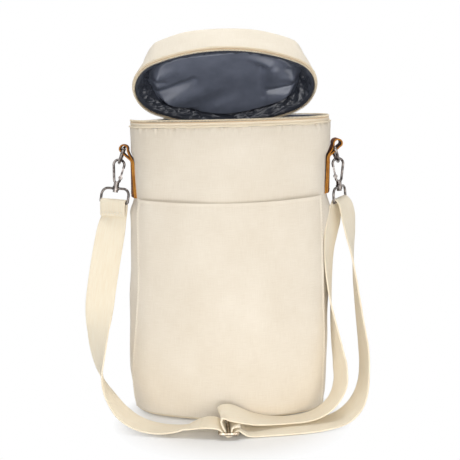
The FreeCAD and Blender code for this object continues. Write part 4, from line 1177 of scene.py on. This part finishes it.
@dataclass
class FrontPocket:
    """The slip pocket: a canvas panel sewn at its sides and base, with a turned top edge."""

    finishes: Finishes
    height: float = 222.5 * MM
    low: float = 3.1 * MM
    top_sag: float = 2.6 * MM
    left_seam: tuple[float, float] = (17 * MM, 27.5 * MM)
    right_seam: tuple[float, float] = (23 * MM, 31 * MM)
    stand: float = 1.74 * MM
    gape: float = 1.5 * MM
    belly: float = 1.2 * MM
    lump: float = 0.85 * MM
    turned: float = 0.8 * MM
    canvas: float = 1.2 * MM
    cloth_size: tuple[float, float] = (270 * MM, 214 * MM)

    def seam_share(self, side: Side, depth: float) -> float:
        """The share of the way round at a side's seam, a depth in front of that end's middle."""
        turn = math.asin(depth / PLAN.end_radius)
        return PLAN.share_at(math.pi + turn if side is Side.LEFT else FULL_TURN - turn)

    def across(self, u: np.ndarray, v: np.ndarray) -> np.ndarray:
        """The way round from seam to seam.

        Args:
            u: shares across the panel.
            v: shares of its height.

        Returns:
            Shares of the way round the plan.
        """
        left_low, left_high = (self.seam_share(Side.LEFT, depth) for depth in self.left_seam)
        right_low, right_high = (self.seam_share(Side.RIGHT, depth) for depth in self.right_seam)
        left = left_low + (left_high - left_low) * ease(v, 0.0, 0.6)
        right = right_low + (right_high - right_low) * v
        return left + (right - left) * u

    def place(self, u: np.ndarray, v: np.ndarray) -> np.ndarray:
        """The panel's outside.

        Args:
            u: shares across the panel.
            v: shares of its height.

        Returns:
            Rows of points.
        """
        share = self.across(u, v)
        sag = self.top_sag * np.sin(math.pi * u) * v ** 3
        height = self.low + (self.height - self.low) * v - sag
        middle = np.clip(np.sin(math.pi * u), 0, 1) ** 0.7
        lumps = self.lump * waves(61, 12, 4.0, 19.0)(share * PLAN.length, height)
        lumps = lumps * middle * ease(v, 0.02, 0.2)
        belly = self.gape * middle * v ** 1.6 + self.belly * middle * np.sin(math.pi * v)
        hem = self.turned * ease(height + sag, self.height - 2.6 * MM, self.height - 1.4 * MM)
        edge = self.turned * (1 - ease(np.minimum(u, 1 - u), 0.006, 0.012))
        out = self.stand + belly + lumps + hem + edge + foot_out(height, self.low)
        return STAND.settle(PLAN.wall(share, out, height))

    def build(self) -> None:
        """Make the panel and the stitches down its sides."""
        panel("front_pocket_cloth", (320, 170), self.place, self.cloth_size, self.canvas,
              "bag", "canvas", self.finishes.canvas, ["front_pocket"])
        v = np.linspace(0.03, 0.985, 120)
        for number, inner in ((1, 0.006), (2, 0.994)):
            u = np.full_like(v, inner)
            _, facing = PLAN.at(self.across(u, v))
            row = stitches("pocket_side_stitches_%d" % number, self.place(u, v),
                           np.column_stack([facing, 0 * u]), 3.0 * MM, 2.1 * MM, 0.22 * MM)
            dress(row, "bag", "canvas", self.finishes.thread)


# The lid


@dataclass(frozen=True)
class Crease:
    """One soft fold of the lid's lining, between two points of its plan in millimetres."""

    start: tuple[float, float]
    end: tuple[float, float]
    rise: float
    width: float

    def height(self, plan: np.ndarray) -> np.ndarray:
        """How far the fold stands out.

        Args:
            plan: rows of plan points in metres.

        Returns:
            Heights in metres.
        """
        first, last = np.array(self.start) * MM, np.array(self.end) * MM
        way = last - first
        share = np.clip(((plan - first) @ way) / (way @ way), 0.0, 1.0)
        away = np.linalg.norm(plan - first - share[:, None] * way, axis=1)
        return self.rise * MM * np.exp(-(away / (self.width * MM)) ** 2) * (1 - 0.6 * share)


LINING_FOLDS = (
    Crease((-80, 33), (-12, 10), 3.6, 9.0), Crease((-78, 20), (-34, -1), -3.6, 4.5),
    Crease((-80, 35), (-30, 36), -3.0, 2.8), Crease((-78, 41), (-36, 43), 2.8, 4.5),
    Crease((-74, -6), (-56, -14), 2.6, 6.5), Crease((-82, 4), (-66, 2), -2.2, 3.0),
    Crease((82, 8), (48, 14), -3.2, 3.0), Crease((80, 18), (50, 24), 2.8, 6.5),
    Crease((38, -16), (42, 20), -2.0, 4.0), Crease((52, -12), (54, 2), 2.2, 6.0),
    Crease((46, -21), (24, -30), 2.4, 5.0), Crease((80, -8), (66, -14), -2.4, 3.0),
    Crease((80, 0), (62, -3), 1.8, 4.0), Crease((-8, 30), (12, 22), 0.9, 5.0),
    Crease((-12, -40), (4, 40), 2.4, 24.0))


@dataclass(frozen=True)
class CapSkin:
    """One layer of the lid: how far in it lies, where it starts and ends, its edge's radius and roughness."""

    inset: float
    low: float
    top: float
    radius: float
    rough: float


@dataclass
class Lid:
    """The cap: canvas shell, foam, lining, welt and the lid's half of the zip."""

    finishes: Finishes
    open_angle: float = 38.0
    fold: tuple[float, float, float] = (0.0, 53.65 * MM, 300 * MM)
    inset: float = 2.0 * MM
    low: float = 305 * MM
    top: float = 342 * MM
    edge_radius: float = 12.0 * MM
    crown: float = 4.0 * MM
    taper: float = 3.8 * MM
    square: float = 2.4 * MM
    sag_angle: float = 9.0
    sag_drop: float = 2.0 * MM
    squeeze: float = 0.945
    drift: float = -3.6 * MM
    cant: float = 0.012
    canvas: float = 1.1 * MM
    lump: float = 0.6 * MM
    pucker: float = 0.3 * MM
    foam: float = 2.6 * MM
    foam_radius: float = 9.0 * MM
    film: float = 0.4 * MM
    film_low: float = 302.6 * MM
    film_deep: float = 20.0 * MM
    film_inset: float = 3.0 * MM
    film_flange: float = 3.0 * MM
    ridge: float = 2.6 * MM
    facet: float = 0.16 * MM
    back_rise: float = 7.0 * MM
    puff: float = 9.0 * MM
    dish: float = 2.2 * MM
    fold_gain: float = 1.6
    hinge_reach: float = 51.5 * MM

    def opened(self, points: np.ndarray) -> np.ndarray:
        """Let points drawn with the lid shut sag towards its hinge, then turn them to where it stands open.

        Args:
            points: rows of points.

        Returns:
            Rows of moved points.
        """
        sagged = points * np.array([self.squeeze, 1.0, 1.0])
        front = np.array([0.0, -PLAN.half_depth + self.inset, self.low])
        sink = np.array(Matrix.Rotation(math.radians(-self.sag_angle), 3, "X"))
        sagged = (sagged - front) @ sink.T + front
        sagged[:, 2] += sagged[:, 0] * self.cant - self.sag_drop
        sagged[:, 0] += self.drift
        turn = np.array(Matrix.Rotation(math.radians(-self.open_angle), 3, "X"))
        fold = np.array(self.fold)
        return (sagged - fold) @ turn.T + fold

    def cap_points(self, skin: CapSkin, u: np.ndarray, v: np.ndarray) -> np.ndarray:
        """One layer of the cap: up its band, round its edge and over its top.

        Args:
            skin: the layer.
            u: shares of the way round.
            v: shares of the way from its low edge to the top's middle.

        Returns:
            Rows of points.
        """
        band = np.clip(v / 0.35, 0, 1)
        bend = np.clip((v - 0.35) / 0.25, 0, 1) * math.pi / 2
        middle = np.clip((v - 0.60) / 0.40, 0, 1)
        facing = PLAN.at(u)[1][:, 0]
        rounded = skin.radius * (1 + 0.6 * facing ** 2)
        height = skin.low + (skin.top - rounded - skin.low) * band + rounded * np.sin(bend)
        height = height + self.crown * (1 - (1 - middle) ** 2)
        run = u * PLAN.length
        lumps = self.lump * waves(71, 12, 5.0, 30.0)(run, height) * ease(band, 0.1, 0.6)
        puckers = self.pucker * waves(73, 10, 90.0, 230.0)(run, 0 * run)
        puckers = puckers * np.exp(-(height - skin.low) / (2.5 * MM))
        corner = np.exp(-((np.abs(facing) - 0.38) / 0.3) ** 2)
        taper = (self.taper * (1 + 1.3 * facing ** 2) - self.square * corner) * band ** 1.2
        relief = skin.rough * (lumps + puckers) * off_seam(u)
        flat, _ = PLAN.at(u, relief - skin.inset - taper - rounded * (1 - np.cos(bend)))
        return self.opened(np.column_stack([flat * (1 - middle)[:, None], height]))

    def build_shell(self) -> None:
        """The canvas side band and top in one rounded skin, and the foam under it."""
        canvas = CapSkin(self.inset, self.low, self.top, self.edge_radius, 1.0)
        foam = CapSkin(self.inset + 1.6 * MM, self.low + 2.5 * MM, self.top - 1.8 * MM, self.foam_radius, 0.0)
        panel("lid_canvas_cap", (400, 90), partial(self.cap_points, canvas), (PLAN.length, 85 * MM),
              self.canvas, "lid", "canvas", self.finishes.lid_canvas, ["lid_band", "lid_top"], Closing.POLE)
        panel("lid_foam_core", (96, 30), partial(self.cap_points, foam), (PLAN.length, 80 * MM), self.foam,
              "lid", "foam", self.finishes.foam, ["lid_foam"], Closing.POLE)

    def wrinkles(self, u: np.ndarray, v: np.ndarray, height: np.ndarray) -> np.ndarray:
        """How far the gathers of the lining's side wall stand inwards.

        Args:
            u: shares of the way round.
            v: shares of the way to the panel's middle.
            height: heights, as drawn with the lid shut.

        Returns:
            Distances in metres.
        """
        run = u * PLAN.length
        crumple = waves(83, 36, 32.0, 190.0)(0.55 * run, 1.3 * height + 0.3 * run)
        ridges = np.clip(1.0 - 1.2 * np.abs(crumple), -0.5, 1.0)
        facets = waves(87, 30, 150.0, 380.0)(0.6 * run, height + 0.4 * run)
        pinch = np.clip(np.sin(math.pi * np.clip(v / 0.40, 0, 1)), 0, 1) ** 0.5
        return (self.ridge * ridges + self.facet * facets) * pinch * off_seam(u)

    def film_points(self, u: np.ndarray, v: np.ndarray) -> np.ndarray:
        """The lining: a flange at the rim, a gathered side wall, and a puffed panel with broad folds.

        Args:
            u: shares of the way round.
            v: shares of the way from the rim to the panel's middle.

        Returns:
            Rows of points.
        """
        flange = np.clip(v / 0.03, 0, 1)
        wall = np.clip((v - 0.03) / 0.33, 0, 1)
        middle = np.clip((v - 0.38) / 0.62, 0, 1)
        deep = self.film_low + self.film_deep * wall
        facing = PLAN.at(u)[1][:, 0]
        untaped = (1 - ease(np.minimum(u, 1 - u) * PLAN.length, 49 * MM, 54 * MM)) * (1 - flange)
        inset = self.inset + self.film_inset - 2.1 * MM * untaped + self.film_flange * flange
        inset = inset + (2.6 + 7.0 * facing ** 2) * MM * wall
        flat, _ = PLAN.at(u, -inset - self.wrinkles(u, v, deep))
        plan = flat * (1 - middle)[:, None]
        height = deep - self.back_rise * wall * ease(plan[:, 1], 2 * MM, 46 * MM) + 2.6 * MM * untaped
        puff = self.puff * ease(middle, 0.0, 0.13) - self.dish * ease(middle, 0.2, 0.75)
        folds = self.fold_gain * sum(crease.height(plan) for crease in LINING_FOLDS)
        slack = 0.7 * MM * waves(89, 10, 6.0, 22.0)(plan[:, 0], plan[:, 1])
        loose = (folds + slack) * ease(middle, 0.02, 0.14)
        return self.opened(np.column_stack([plan, height - puff - loose]))

    def build_lining(self) -> None:
        """The gathered film inside the cap."""
        film = sheet("lid_lining_film", 640, 170, self.film_points, (PLAN.length, 90 * MM))
        weld(film, Closing.POLE)
        thicken(film, self.film, 0.0, even=False)
        smooth(film, math.radians(80))
        dress(film, "lid", "lining", self.finishes.lid_lining, stands_for=["lid_lining"])

    def build_rim(self) -> None:
        """The lid's half of the zip."""
        HalfZip(self.finishes, "lid", "lid", self.opened, tape_low=302.0 * MM, tape_height=4.6 * MM,
                belly=0.5 * MM, roll=(0.0, 0.6), welt_height=304.0 * MM, coil_height=301.1 * MM,
                inset=self.inset).build()

    def hinge_points(self, u: np.ndarray, v: np.ndarray) -> np.ndarray:
        """The hinge strip's middle surface, up the bag's back and on to the lid's.

        Args:
            u: shares across the strip.
            v: shares of the way up.

        Returns:
            Rows of points.
        """
        share = (1 + self.hinge_reach / PLAN.length * (2 * u - 1)) % 1.0
        below = PLAN.wall(share, -0.9 * MM, 284 * MM + 14 * MM * np.clip(v / 0.6, 0, 1))
        rise = np.clip((v - 0.6) / 0.4, 0, 1)
        above = self.opened(PLAN.wall(share, 0.9 * MM - self.inset, 310 * MM + 9 * MM * rise))
        flare = ease(v, 0.52, 0.72)[:, None]
        return below * (1 - flare) + above * flare

    def build_hinge(self) -> None:
        """The canvas strip at the back, which bends between the bag and the lid."""
        strip = sheet("hinge_strip_cloth", 120, 30, self.hinge_points, (2 * self.hinge_reach, 26 * MM))
        with_finish(strip, self.finishes.canvas)
        thicken(strip, 0.8 * MM, 0.0)
        smooth(strip)
        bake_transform(strip)
        dress(strip, None, "canvas", stands_for=["hinge_strip_bag", "hinge_strip_lid"])

    def build(self) -> None:
        """Make every piece of the lid."""
        self.build_shell()
        self.build_lining()
        self.build_rim()
        self.build_hinge()


# Leather, metal and strap


@dataclass
class LeatherTab:
    """A folded leather strip that holds a ring on one side of the bag."""

    finishes: Finishes
    side: Side
    width: float = 19 * MM
    flare: float = 3 * MM
    forward: float = 9.5 * MM
    leather: float = 1.5 * MM
    bottom: float = 222 * MM
    root: float = 257 * MM
    bar: tuple[float, float] = (105.5 * MM, 269 * MM)
    hole: float = 3.2 * MM
    slack: tuple[float, float] = (0.2 * MM, 1.8 * MM)
    face: float = 100.2 * MM
    loop_angles: tuple[float, float] = (198.0, -62.0)
    stitch_margin: float = 2.4 * MM

    def profile(self) -> np.ndarray:
        """The strip's middle line, seen from the front: up the bag, round the ring's bar and down again.

        Returns:
            Rows of two coordinates, outwards and up.
        """
        half = self.leather / 2
        inner, outer = self.face + half, self.face + 3 * half + 0.1 * MM
        radius = self.hole + half
        angles = np.radians(np.linspace(*self.loop_angles, 26))
        loop = np.column_stack([np.cos(angles), np.sin(angles)]) * radius + np.add(self.bar, self.slack)
        up = np.linspace(self.bottom, self.root - 1 * MM, 12)
        down = np.linspace(self.root - 1 * MM, self.bottom + 0.4 * MM, 12)
        corner_in = [[inner + 0.3 * MM, self.root + 1.6 * MM]]
        corner_out = [[outer + 0.5 * MM, self.root + 1.8 * MM]]
        return np.vstack([np.column_stack([np.full(12, inner), up]), corner_in, loop, corner_out,
                          np.column_stack([np.full(12, outer), down])])

    def laid(self, x: np.ndarray, y: np.ndarray, z: np.ndarray) -> np.ndarray:
        """Lay points of a straight strip on the bag's side, where it flares and runs forward.

        Args:
            x: distances outwards from the bag's middle.
            y: distances across the strip.
            z: heights.

        Returns:
            Rows of points.
        """
        down = 1 - ease(z, self.bottom, self.root + 3 * MM)
        sewn = np.clip((self.bar[1] - z) / (self.bar[1] - self.bottom), 0.0, 1.0)
        y = y * (1 + self.flare / self.width * down) - self.forward * sewn
        bow = PLAN.end_radius - np.sqrt(PLAN.end_radius ** 2 - y ** 2)
        x = x - bow * (1 - ease(z, self.root, self.root + 8 * MM))
        return STAND.settle(np.column_stack([self.side.value * x, y, z]))

    def place(self, u: np.ndarray, v: np.ndarray) -> np.ndarray:
        """The strip's middle surface, for shares of its length and width."""
        line = self.profile()
        run = run_of(line)
        x, z = read_along(u * run[-1], run, line).T
        return self.laid(x, self.width * (v - 0.5), z)

    def build(self) -> None:
        """Make the strip and its stitches."""
        strip = sheet("leather_tab_" + self.side.word, 150, 10, self.place,
                      (run_of(self.profile())[-1], self.width))
        with_finish(strip, self.finishes.leather, self.finishes.leather_edge)
        thicken(strip, self.leather, 0.0, 1)
        apply_modifier(strip, "BEVEL", width=0.25 * MM, segments=2, limit_method="ANGLE",
                       angle_limit=math.radians(55))
        smooth(strip)
        dress(strip, "bag", "leather", stands_for=["tab_" + self.side.word])
        face = self.face + 2 * self.leather + 0.12 * MM
        low, high, half = self.bottom + 3 * MM, self.root - 4 * MM, self.width / 2 - self.stitch_margin
        corners = [(-half, high), (-half, low), (half, low), (half, high), (-half, high)]
        path = np.vstack([np.linspace(a, b, 20) for a, b in zip(corners, corners[1:])])
        points = self.laid(np.full(len(path), face), path[:, 0], path[:, 1])
        out = np.tile([float(self.side.value), 0.0, 0.0], (len(points), 1))
        row = stitches("tab_stitches_" + self.side.word, points, out, 2.8 * MM, 2.0 * MM, 0.28 * MM)
        dress(row, "bag", "leather", self.finishes.tan_thread)


@dataclass
class Strap:
    """One length of the shoulder strap, between the slide and a strap loop."""

    finishes: Finishes
    side: Side
    route: Sequence[tuple[tuple[float, float, float], tuple[float, float, float]]]
    width: float = 29 * MM
    spread: float = 0.3 * MM
    thick: float = 1.6 * MM
    blend_low: float = 60 * MM
    blend_high: float = 200 * MM
    zigzag: tuple[float, float] = (1.8 * MM, 4.8 * MM)
    zigzag_points: int = 15

    def centreline(self) -> np.ndarray:
        """Points read from a smooth spline whose control points are the route's.

        Returns:
            Rows of points.
        """
        curve = bpy.data.curves.new("strap_line", "CURVE")
        curve.dimensions = "3D"
        curve.resolution_u = 12
        line = curve.splines.new("NURBS")
        line.points.add(len(self.route) - 1)
        for point, (place, _) in zip(line.points, self.route):
            point.co = (*[part * MM for part in place], 1.0)
        line.order_u = 3
        line.use_endpoint_u = True
        holder = bpy.data.objects.new("strap_line", curve)
        bpy.context.scene.collection.objects.link(holder)
        mesh = bpy.data.meshes.new_from_object(holder)
        points = np.array([v.co for v in mesh.vertices])
        bpy.data.objects.remove(holder)
        bpy.data.meshes.remove(mesh)
        return points

    def widths(self, points: np.ndarray) -> np.ndarray:
        """The direction of the strap's width at each point of its line, square to the line.

        Args:
            points: rows of points.

        Returns:
            Rows of directions.
        """
        spans = len(self.route) - 2
        marks = np.concatenate([[0.0], np.arange(spans) + 0.5, [float(spans)]])
        turns = spans * np.arange(len(points)) / (len(points) - 1)
        ways = read_along(turns, marks, unit(np.array([way for _, way in self.route], dtype=float)))
        ahead = unit(np.gradient(points, axis=0))
        return unit(ways - ahead * (ways * ahead).sum(1)[:, None])

    def build(self) -> None:
        """Make the webbing along its line."""
        points = self.centreline()
        wide = self.widths(points)
        run = run_of(points)

        def place(u: np.ndarray, v: np.ndarray) -> np.ndarray:
            """The strap's middle surface, for shares of its width and length."""
            at = v * run[-1]
            beside = (u - 0.5) * (self.width + self.spread)
            return read_along(at, run, points) + unit(read_along(at, run, wide)) * beside[:, None]

        rows = int(run[-1] / (2.0 * MM))
        band = sheet("strap_webbing_" + self.side.word, 10, rows, place, (self.width, run[-1]))
        with_finish(band, self.finishes.webbing)
        thicken(band, self.thick, 0.0)
        apply_modifier(band, "BEVEL", width=0.45 * MM, segments=2, limit_method="ANGLE",
                       angle_limit=math.radians(60))
        smooth(band)
        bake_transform(band)
        dress(band, None, "webbing", stands_for=["strap_" + self.side.word])
        LOG.info("strap %s is %.3f m long", self.side.word, run[-1])
        if self.side is Side.LEFT:
            self.sew_end(points[0], wide[0])

    def sew_end(self, end: np.ndarray, wide: np.ndarray) -> None:
        """Sew the folded end down with a zigzag row.

        Args:
            end: the end of the strap's line.
            wide: the direction of its width there.
        """
        count = self.zigzag_points
        steps = np.linspace(-0.44, 0.44, count)[:, None] * self.width
        rises = np.where(np.arange(count) % 2 == 0, *self.zigzag)[:, None]
        out = np.cross(wide, (0.0, 0.0, 1.0))
        points = end + wide * steps + np.array([[0.0, 0.0, 1.0]]) * rises + out * (self.thick / 2 + 0.25 * MM)
        row = stitches("strap_stitches_" + self.side.word, points, np.tile(out, (count, 1)),
                       1.9 * MM, 1.4 * MM, 0.5 * MM)
        dress(row, "strap_loop_" + self.side.word, "webbing", self.finishes.thread)


def level(angle: float, rise: float = 0.0) -> tuple[float, float, float]:
    """A direction as degrees round from +X, and degrees up from level."""
    turn, lift = math.radians(angle), math.radians(rise)
    return math.cos(lift) * math.cos(turn), math.cos(lift) * math.sin(turn), math.sin(lift)


LEFT_WIDE = (0.874, -0.485, -0.006)
LEFT_ROUTE = [
    ((-118.0, -12.3, 201.5), LEFT_WIDE), ((-117.9, -12.1, 210.0), LEFT_WIDE),
    ((-117.8, -11.9, 217.9), LEFT_WIDE), ((-115.3, -7.5, 217.9), LEFT_WIDE),
    ((-115.5, -7.8, 209.0), LEFT_WIDE), ((-117.2, -10.4, 199.0), level(-26)),
    ((-120.3, -12.5, 186.0), level(-8)), ((-127.3, -16.0, 149.0), level(2)),
    ((-132.8, -21.0, 113.0), level(-6)), ((-134.4, -28.0, 86.0), level(-40)),
    ((-133.4, -36.0, 66.0), level(-58)), ((-130.0, -46.0, 46.0), level(-78)),
    ((-121.8, -55.0, 29.5), level(-94)), ((-108.5, -65.5, 13.5), level(-104)),
    ((-92.0, -72.5, 5.0), level(-100)), ((-74.0, -77.0, 1.8), level(-96, 3)),
    ((-57.0, -79.5, 2.4), level(-94, 9)), ((-45.4, -81.0, 4.8), level(-92, 16)),
    ((-36.0, -82.5, 8.8), level(-90, 7)), ((-31.3, -83.3, 9.8), level(-90, 4))]
RIGHT_WIDE = (0.514, 0.857, 0.036)
RIGHT_ROUTE = [
    ((-31.3, -83.3, 9.8), level(90, -4)), ((-26.5, -84.1, 10.8), level(90, -2)),
    ((-20.0, -85.0, 10.8), level(90)), ((-14.0, -85.0, 9.4), level(90)), ((-10.0, -85.0, 4.5), level(90)),
    ((-6.0, -85.0, 0.9), level(90)), ((-1.0, -85.0, 4.5), level(90)), ((3.1, -85.0, 9.2), level(90)),
    ((8.0, -85.0, 5.0), level(90)), ((14.0, -84.5, 1.3), level(90)), ((30.0, -82.5, 1.05), level(91)),
    ((45.5, -81.0, 1.05), level(92)), ((60.3, -79.0, 1.05), level(94)), ((76.0, -76.0, 1.05), level(98)),
    ((92.5, -71.0, 1.6), level(104)), ((109.0, -64.5, 4.0), level(108)), ((122.5, -56.0, 12.0), level(103)),
    ((131.0, -47.0, 24.0), level(97)), ((135.2, -39.0, 37.0), level(95)), ((136.9, -32.0, 51.0), level(97)),
    ((136.6, -26.0, 66.0), level(99)), ((134.8, -20.5, 83.0), level(96)), ((132.2, -15.0, 106.0), level(92)),
    ((129.4, -10.0, 132.0), level(87)), ((126.6, -6.0, 160.0), level(77)), ((124.4, -4.0, 180.0), level(62)),
    ((122.4, -2.6, 198.0), level(53)), ((119.6, -2.8, 209.5), level(54)), ((115.4, -1.3, 216.6), RIGHT_WIDE),
    ((111.4, 1.2, 216.6), RIGHT_WIDE), ((110.0, 1.0, 207.0), RIGHT_WIDE), ((107.0, -5.0, 196.0), level(55)),
    ((102.4, -12.5, 180.0), level(57)), ((100.2, -16.0, 163.0), level(63)),
    ((100.8, -17.5, 140.0), level(71)), ((102.4, -19.5, 115.0), level(80)),
    ((104.6, -25.0, 94.0), level(91)), ((107.2, -32.0, 72.0), level(101)),
    ((110.2, -41.0, 51.0), level(108)), ((110.0, -49.5, 34.0), level(104)),
    ((102.5, -55.0, 19.5), level(94)), ((89.5, -57.5, 8.0), level(92, -4)),
    ((73.0, -60.0, 3.0), level(92, -7)), ((55.5, -63.0, 2.6), level(93, -9)),
    ((38.5, -67.0, 4.2), level(93, -7)), ((22.0, -71.5, 8.0), level(92, -1)),
    ((9.5, -77.0, 14.0), level(90, 5)), ((-1.5, -82.0, 19.0), level(90, 11)),
    ((-13.2, -84.6, 20.5), level(90, 6)), ((-12.2, -85.0, 13.5), level(90)), ((-8.4, -85.0, 6.5), level(90)),
    ((-8.0, -85.0, 2.4), level(90)), ((-3.0, -85.0, 2.4), level(90)), ((-2.9, -85.0, 7.0), level(90)),
    ((-2.0, -85.0, 11.8), level(90)), ((5.5, -85.0, 11.8), level(90))]


@dataclass
class Hardware:
    """The metal pieces, which keep the frame's own shapes."""

    finishes: Finishes
    starts: tuple[str, ...] = (
        "ring_", "hook_", "gate_", "strap_loop_", "tri_glide", "zip_slider", "zip_pull")

    def dress(self) -> None:
        """Plate every metal node, and the slide in a paler plate."""
        for name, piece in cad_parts.items():
            if name.startswith(self.starts):
                piece.data.materials.clear()
                with_finish(piece, self.finishes.pale_plate if name == "tri_glide" else self.finishes.nickel)
                LOG.info("%s plated", name)


# The studio


@dataclass(frozen=True)
class SoftLamp:
    """A rectangular lamp, of a width and a height, that faces a point."""

    name: str
    place: tuple[float, float, float]
    aim: tuple[float, float, float]
    size: tuple[float, float]
    power: float
    colour: Colour = (1.0, 1.0, 1.0)

    def hang(self) -> None:
        """Put the lamp in the scene."""
        light = bpy.data.lights.new(self.name, "AREA")
        light.shape = "RECTANGLE"
        light.size, light.size_y = self.size
        light.energy = self.power
        light.color = self.colour
        holder = bpy.data.objects.new(self.name, light)
        bpy.context.scene.collection.objects.link(holder)
        holder.location = self.place
        holder.rotation_euler = (Vector(self.aim) - Vector(self.place)).to_track_quat("-Z", "Y").to_euler()


# Overhead, front and side lamps, and a low one that fills in as a bright floor does
LAMPS = (
    SoftLamp("overhead_lamp", (0.0, 0.1, 1.5), (0, 0, 0.1), (0.9, 0.9), 12.6),
    SoftLamp("front_lamp", (-0.05, -1.9, 0.52), (0, 0, 0.15), (1.4, 1.4), 13.4),
    SoftLamp("right_lamp", (1.3, -1.3, 0.15), (0, 0, 0.08), (0.9, 0.9), 5.0, (1.0, 0.94, 0.86)),
    SoftLamp("left_lamp", (-1.2, -1.3, 0.3), (0.1, 0, 0.08), (0.9, 0.9), 2.4, (1.0, 0.97, 0.93)),
    SoftLamp("low_lamp", (0.04, -0.42, 0.035), (0, 0, 0.03), (0.7, 0.06), 0.33, (1.0, 0.96, 0.9)))


@dataclass
class Studio:
    """Camera, lamps, floor and white surroundings."""

    eye: tuple[float, float, float] = (-37.285 * MM, -858.56 * MM, 335.991 * MM)
    yaw: float = 0.044
    pitch: float = 0.175
    roll: float = -0.003
    focal_pixels: float = 848.84
    image_pixels: float = 460.0
    sensor: float = 36.0
    floor_height: float = -0.3 * MM
    floor_size: float = 6.0
    shadow_near: float = 0.070
    shadow_far: float = 0.105
    shadow_shift: tuple[float, float, float] = (0.0, 0.05, 0.0)
    shadow_scale: tuple[float, float, float] = (0.88, 1.0, 1.0)
    soft_light: float = 0.28

    def build_camera(self) -> None:
        """Set the camera at the photograph's viewpoint."""
        lens = bpy.data.cameras.new("studio_camera")
        lens.sensor_width = self.sensor
        lens.lens = self.sensor * self.focal_pixels / self.image_pixels
        camera = bpy.data.objects.new("studio_camera", lens)
        bpy.context.scene.collection.objects.link(camera)
        level_part = math.cos(self.pitch)
        forward = Vector((math.sin(self.yaw) * level_part, math.cos(self.yaw) * level_part,
                          -math.sin(self.pitch)))
        turn = forward.to_track_quat("-Z", "Y").to_matrix() @ Matrix.Rotation(self.roll, 3, "Z")
        camera.location = self.eye
        camera.rotation_euler = turn.to_euler()
        bpy.context.scene.camera = camera

    def build_floor(self) -> None:
        """A pale floor that keeps the shadow near the carrier and fades to white."""
        deselect()
        bpy.ops.mesh.primitive_plane_add(size=self.floor_size, location=(0, 0, self.floor_height))
        floor = bpy.context.object
        floor.name = "studio_floor"
        recipe = Recipe("studio_floor")
        recipe.surface(Base_Color=(0.95, 0.95, 0.95, 1.0), Roughness=0.9, Specular_IOR_Level=0.1)
        where = recipe.on_object(self.shadow_scale, self.shadow_shift)
        away = recipe.out(recipe.node("ShaderNodeVectorMath", {"operation": "LENGTH"}, {0: where}), "Value")
        far = ((away - self.shadow_near) / (self.shadow_far - self.shadow_near)).held()
        glow = recipe.node("ShaderNodeEmission", {}, {"Color": (1.0, 1.0, 1.0, 1.0), "Strength": 1.0})
        mixed = recipe.node("ShaderNodeMixShader", {}, {
            0: far * recipe.seen(), 1: recipe.out(recipe.shader), 2: recipe.out(glow)})
        recipe.feed(recipe.output.inputs["Surface"], recipe.out(mixed))
        with_finish(floor, recipe.material)

    def build_world(self) -> None:
        """White where the camera looks, and a softer even light elsewhere."""
        world = bpy.data.worlds.new("studio_world")
        bpy.context.scene.world = world
        world.use_nodes = True
        world.node_tree.nodes.clear()
        graph = NodeGraph(world.node_tree)
        soft, white = (graph.out(graph.node("ShaderNodeBackground", {}, {
            "Color": (1.0, 1.0, 1.0, 1.0), "Strength": strength})) for strength in (self.soft_light, 1.0))
        mixed = graph.node("ShaderNodeMixShader", {}, {0: graph.seen(), 1: soft, 2: white})
        graph.node("ShaderNodeOutputWorld", {}, {"Surface": graph.out(mixed)})

    def build(self) -> None:
        """Make the studio."""
        bpy.context.scene.view_settings.view_transform = "Standard"
        self.build_camera()
        for lamp in LAMPS:
            lamp.hang()
        self.build_floor()
        self.build_world()


def main() -> None:
    """Build the carrier's looks."""
    logging.basicConfig(level=logging.INFO, format="%(message)s")
    finishes = Finishes()
    Studio().build()
    for side, route in ((Side.LEFT, LEFT_ROUTE), (Side.RIGHT, RIGHT_ROUTE)):
        Strap(finishes, side, route).build()
    Bag(finishes).build()
    FrontPocket(finishes).build()
    Lid(finishes).build()
    for side in Side:
        LeatherTab(finishes, side).build()
    Hardware(finishes).dress()


if __name__ == "__main__":
    main()
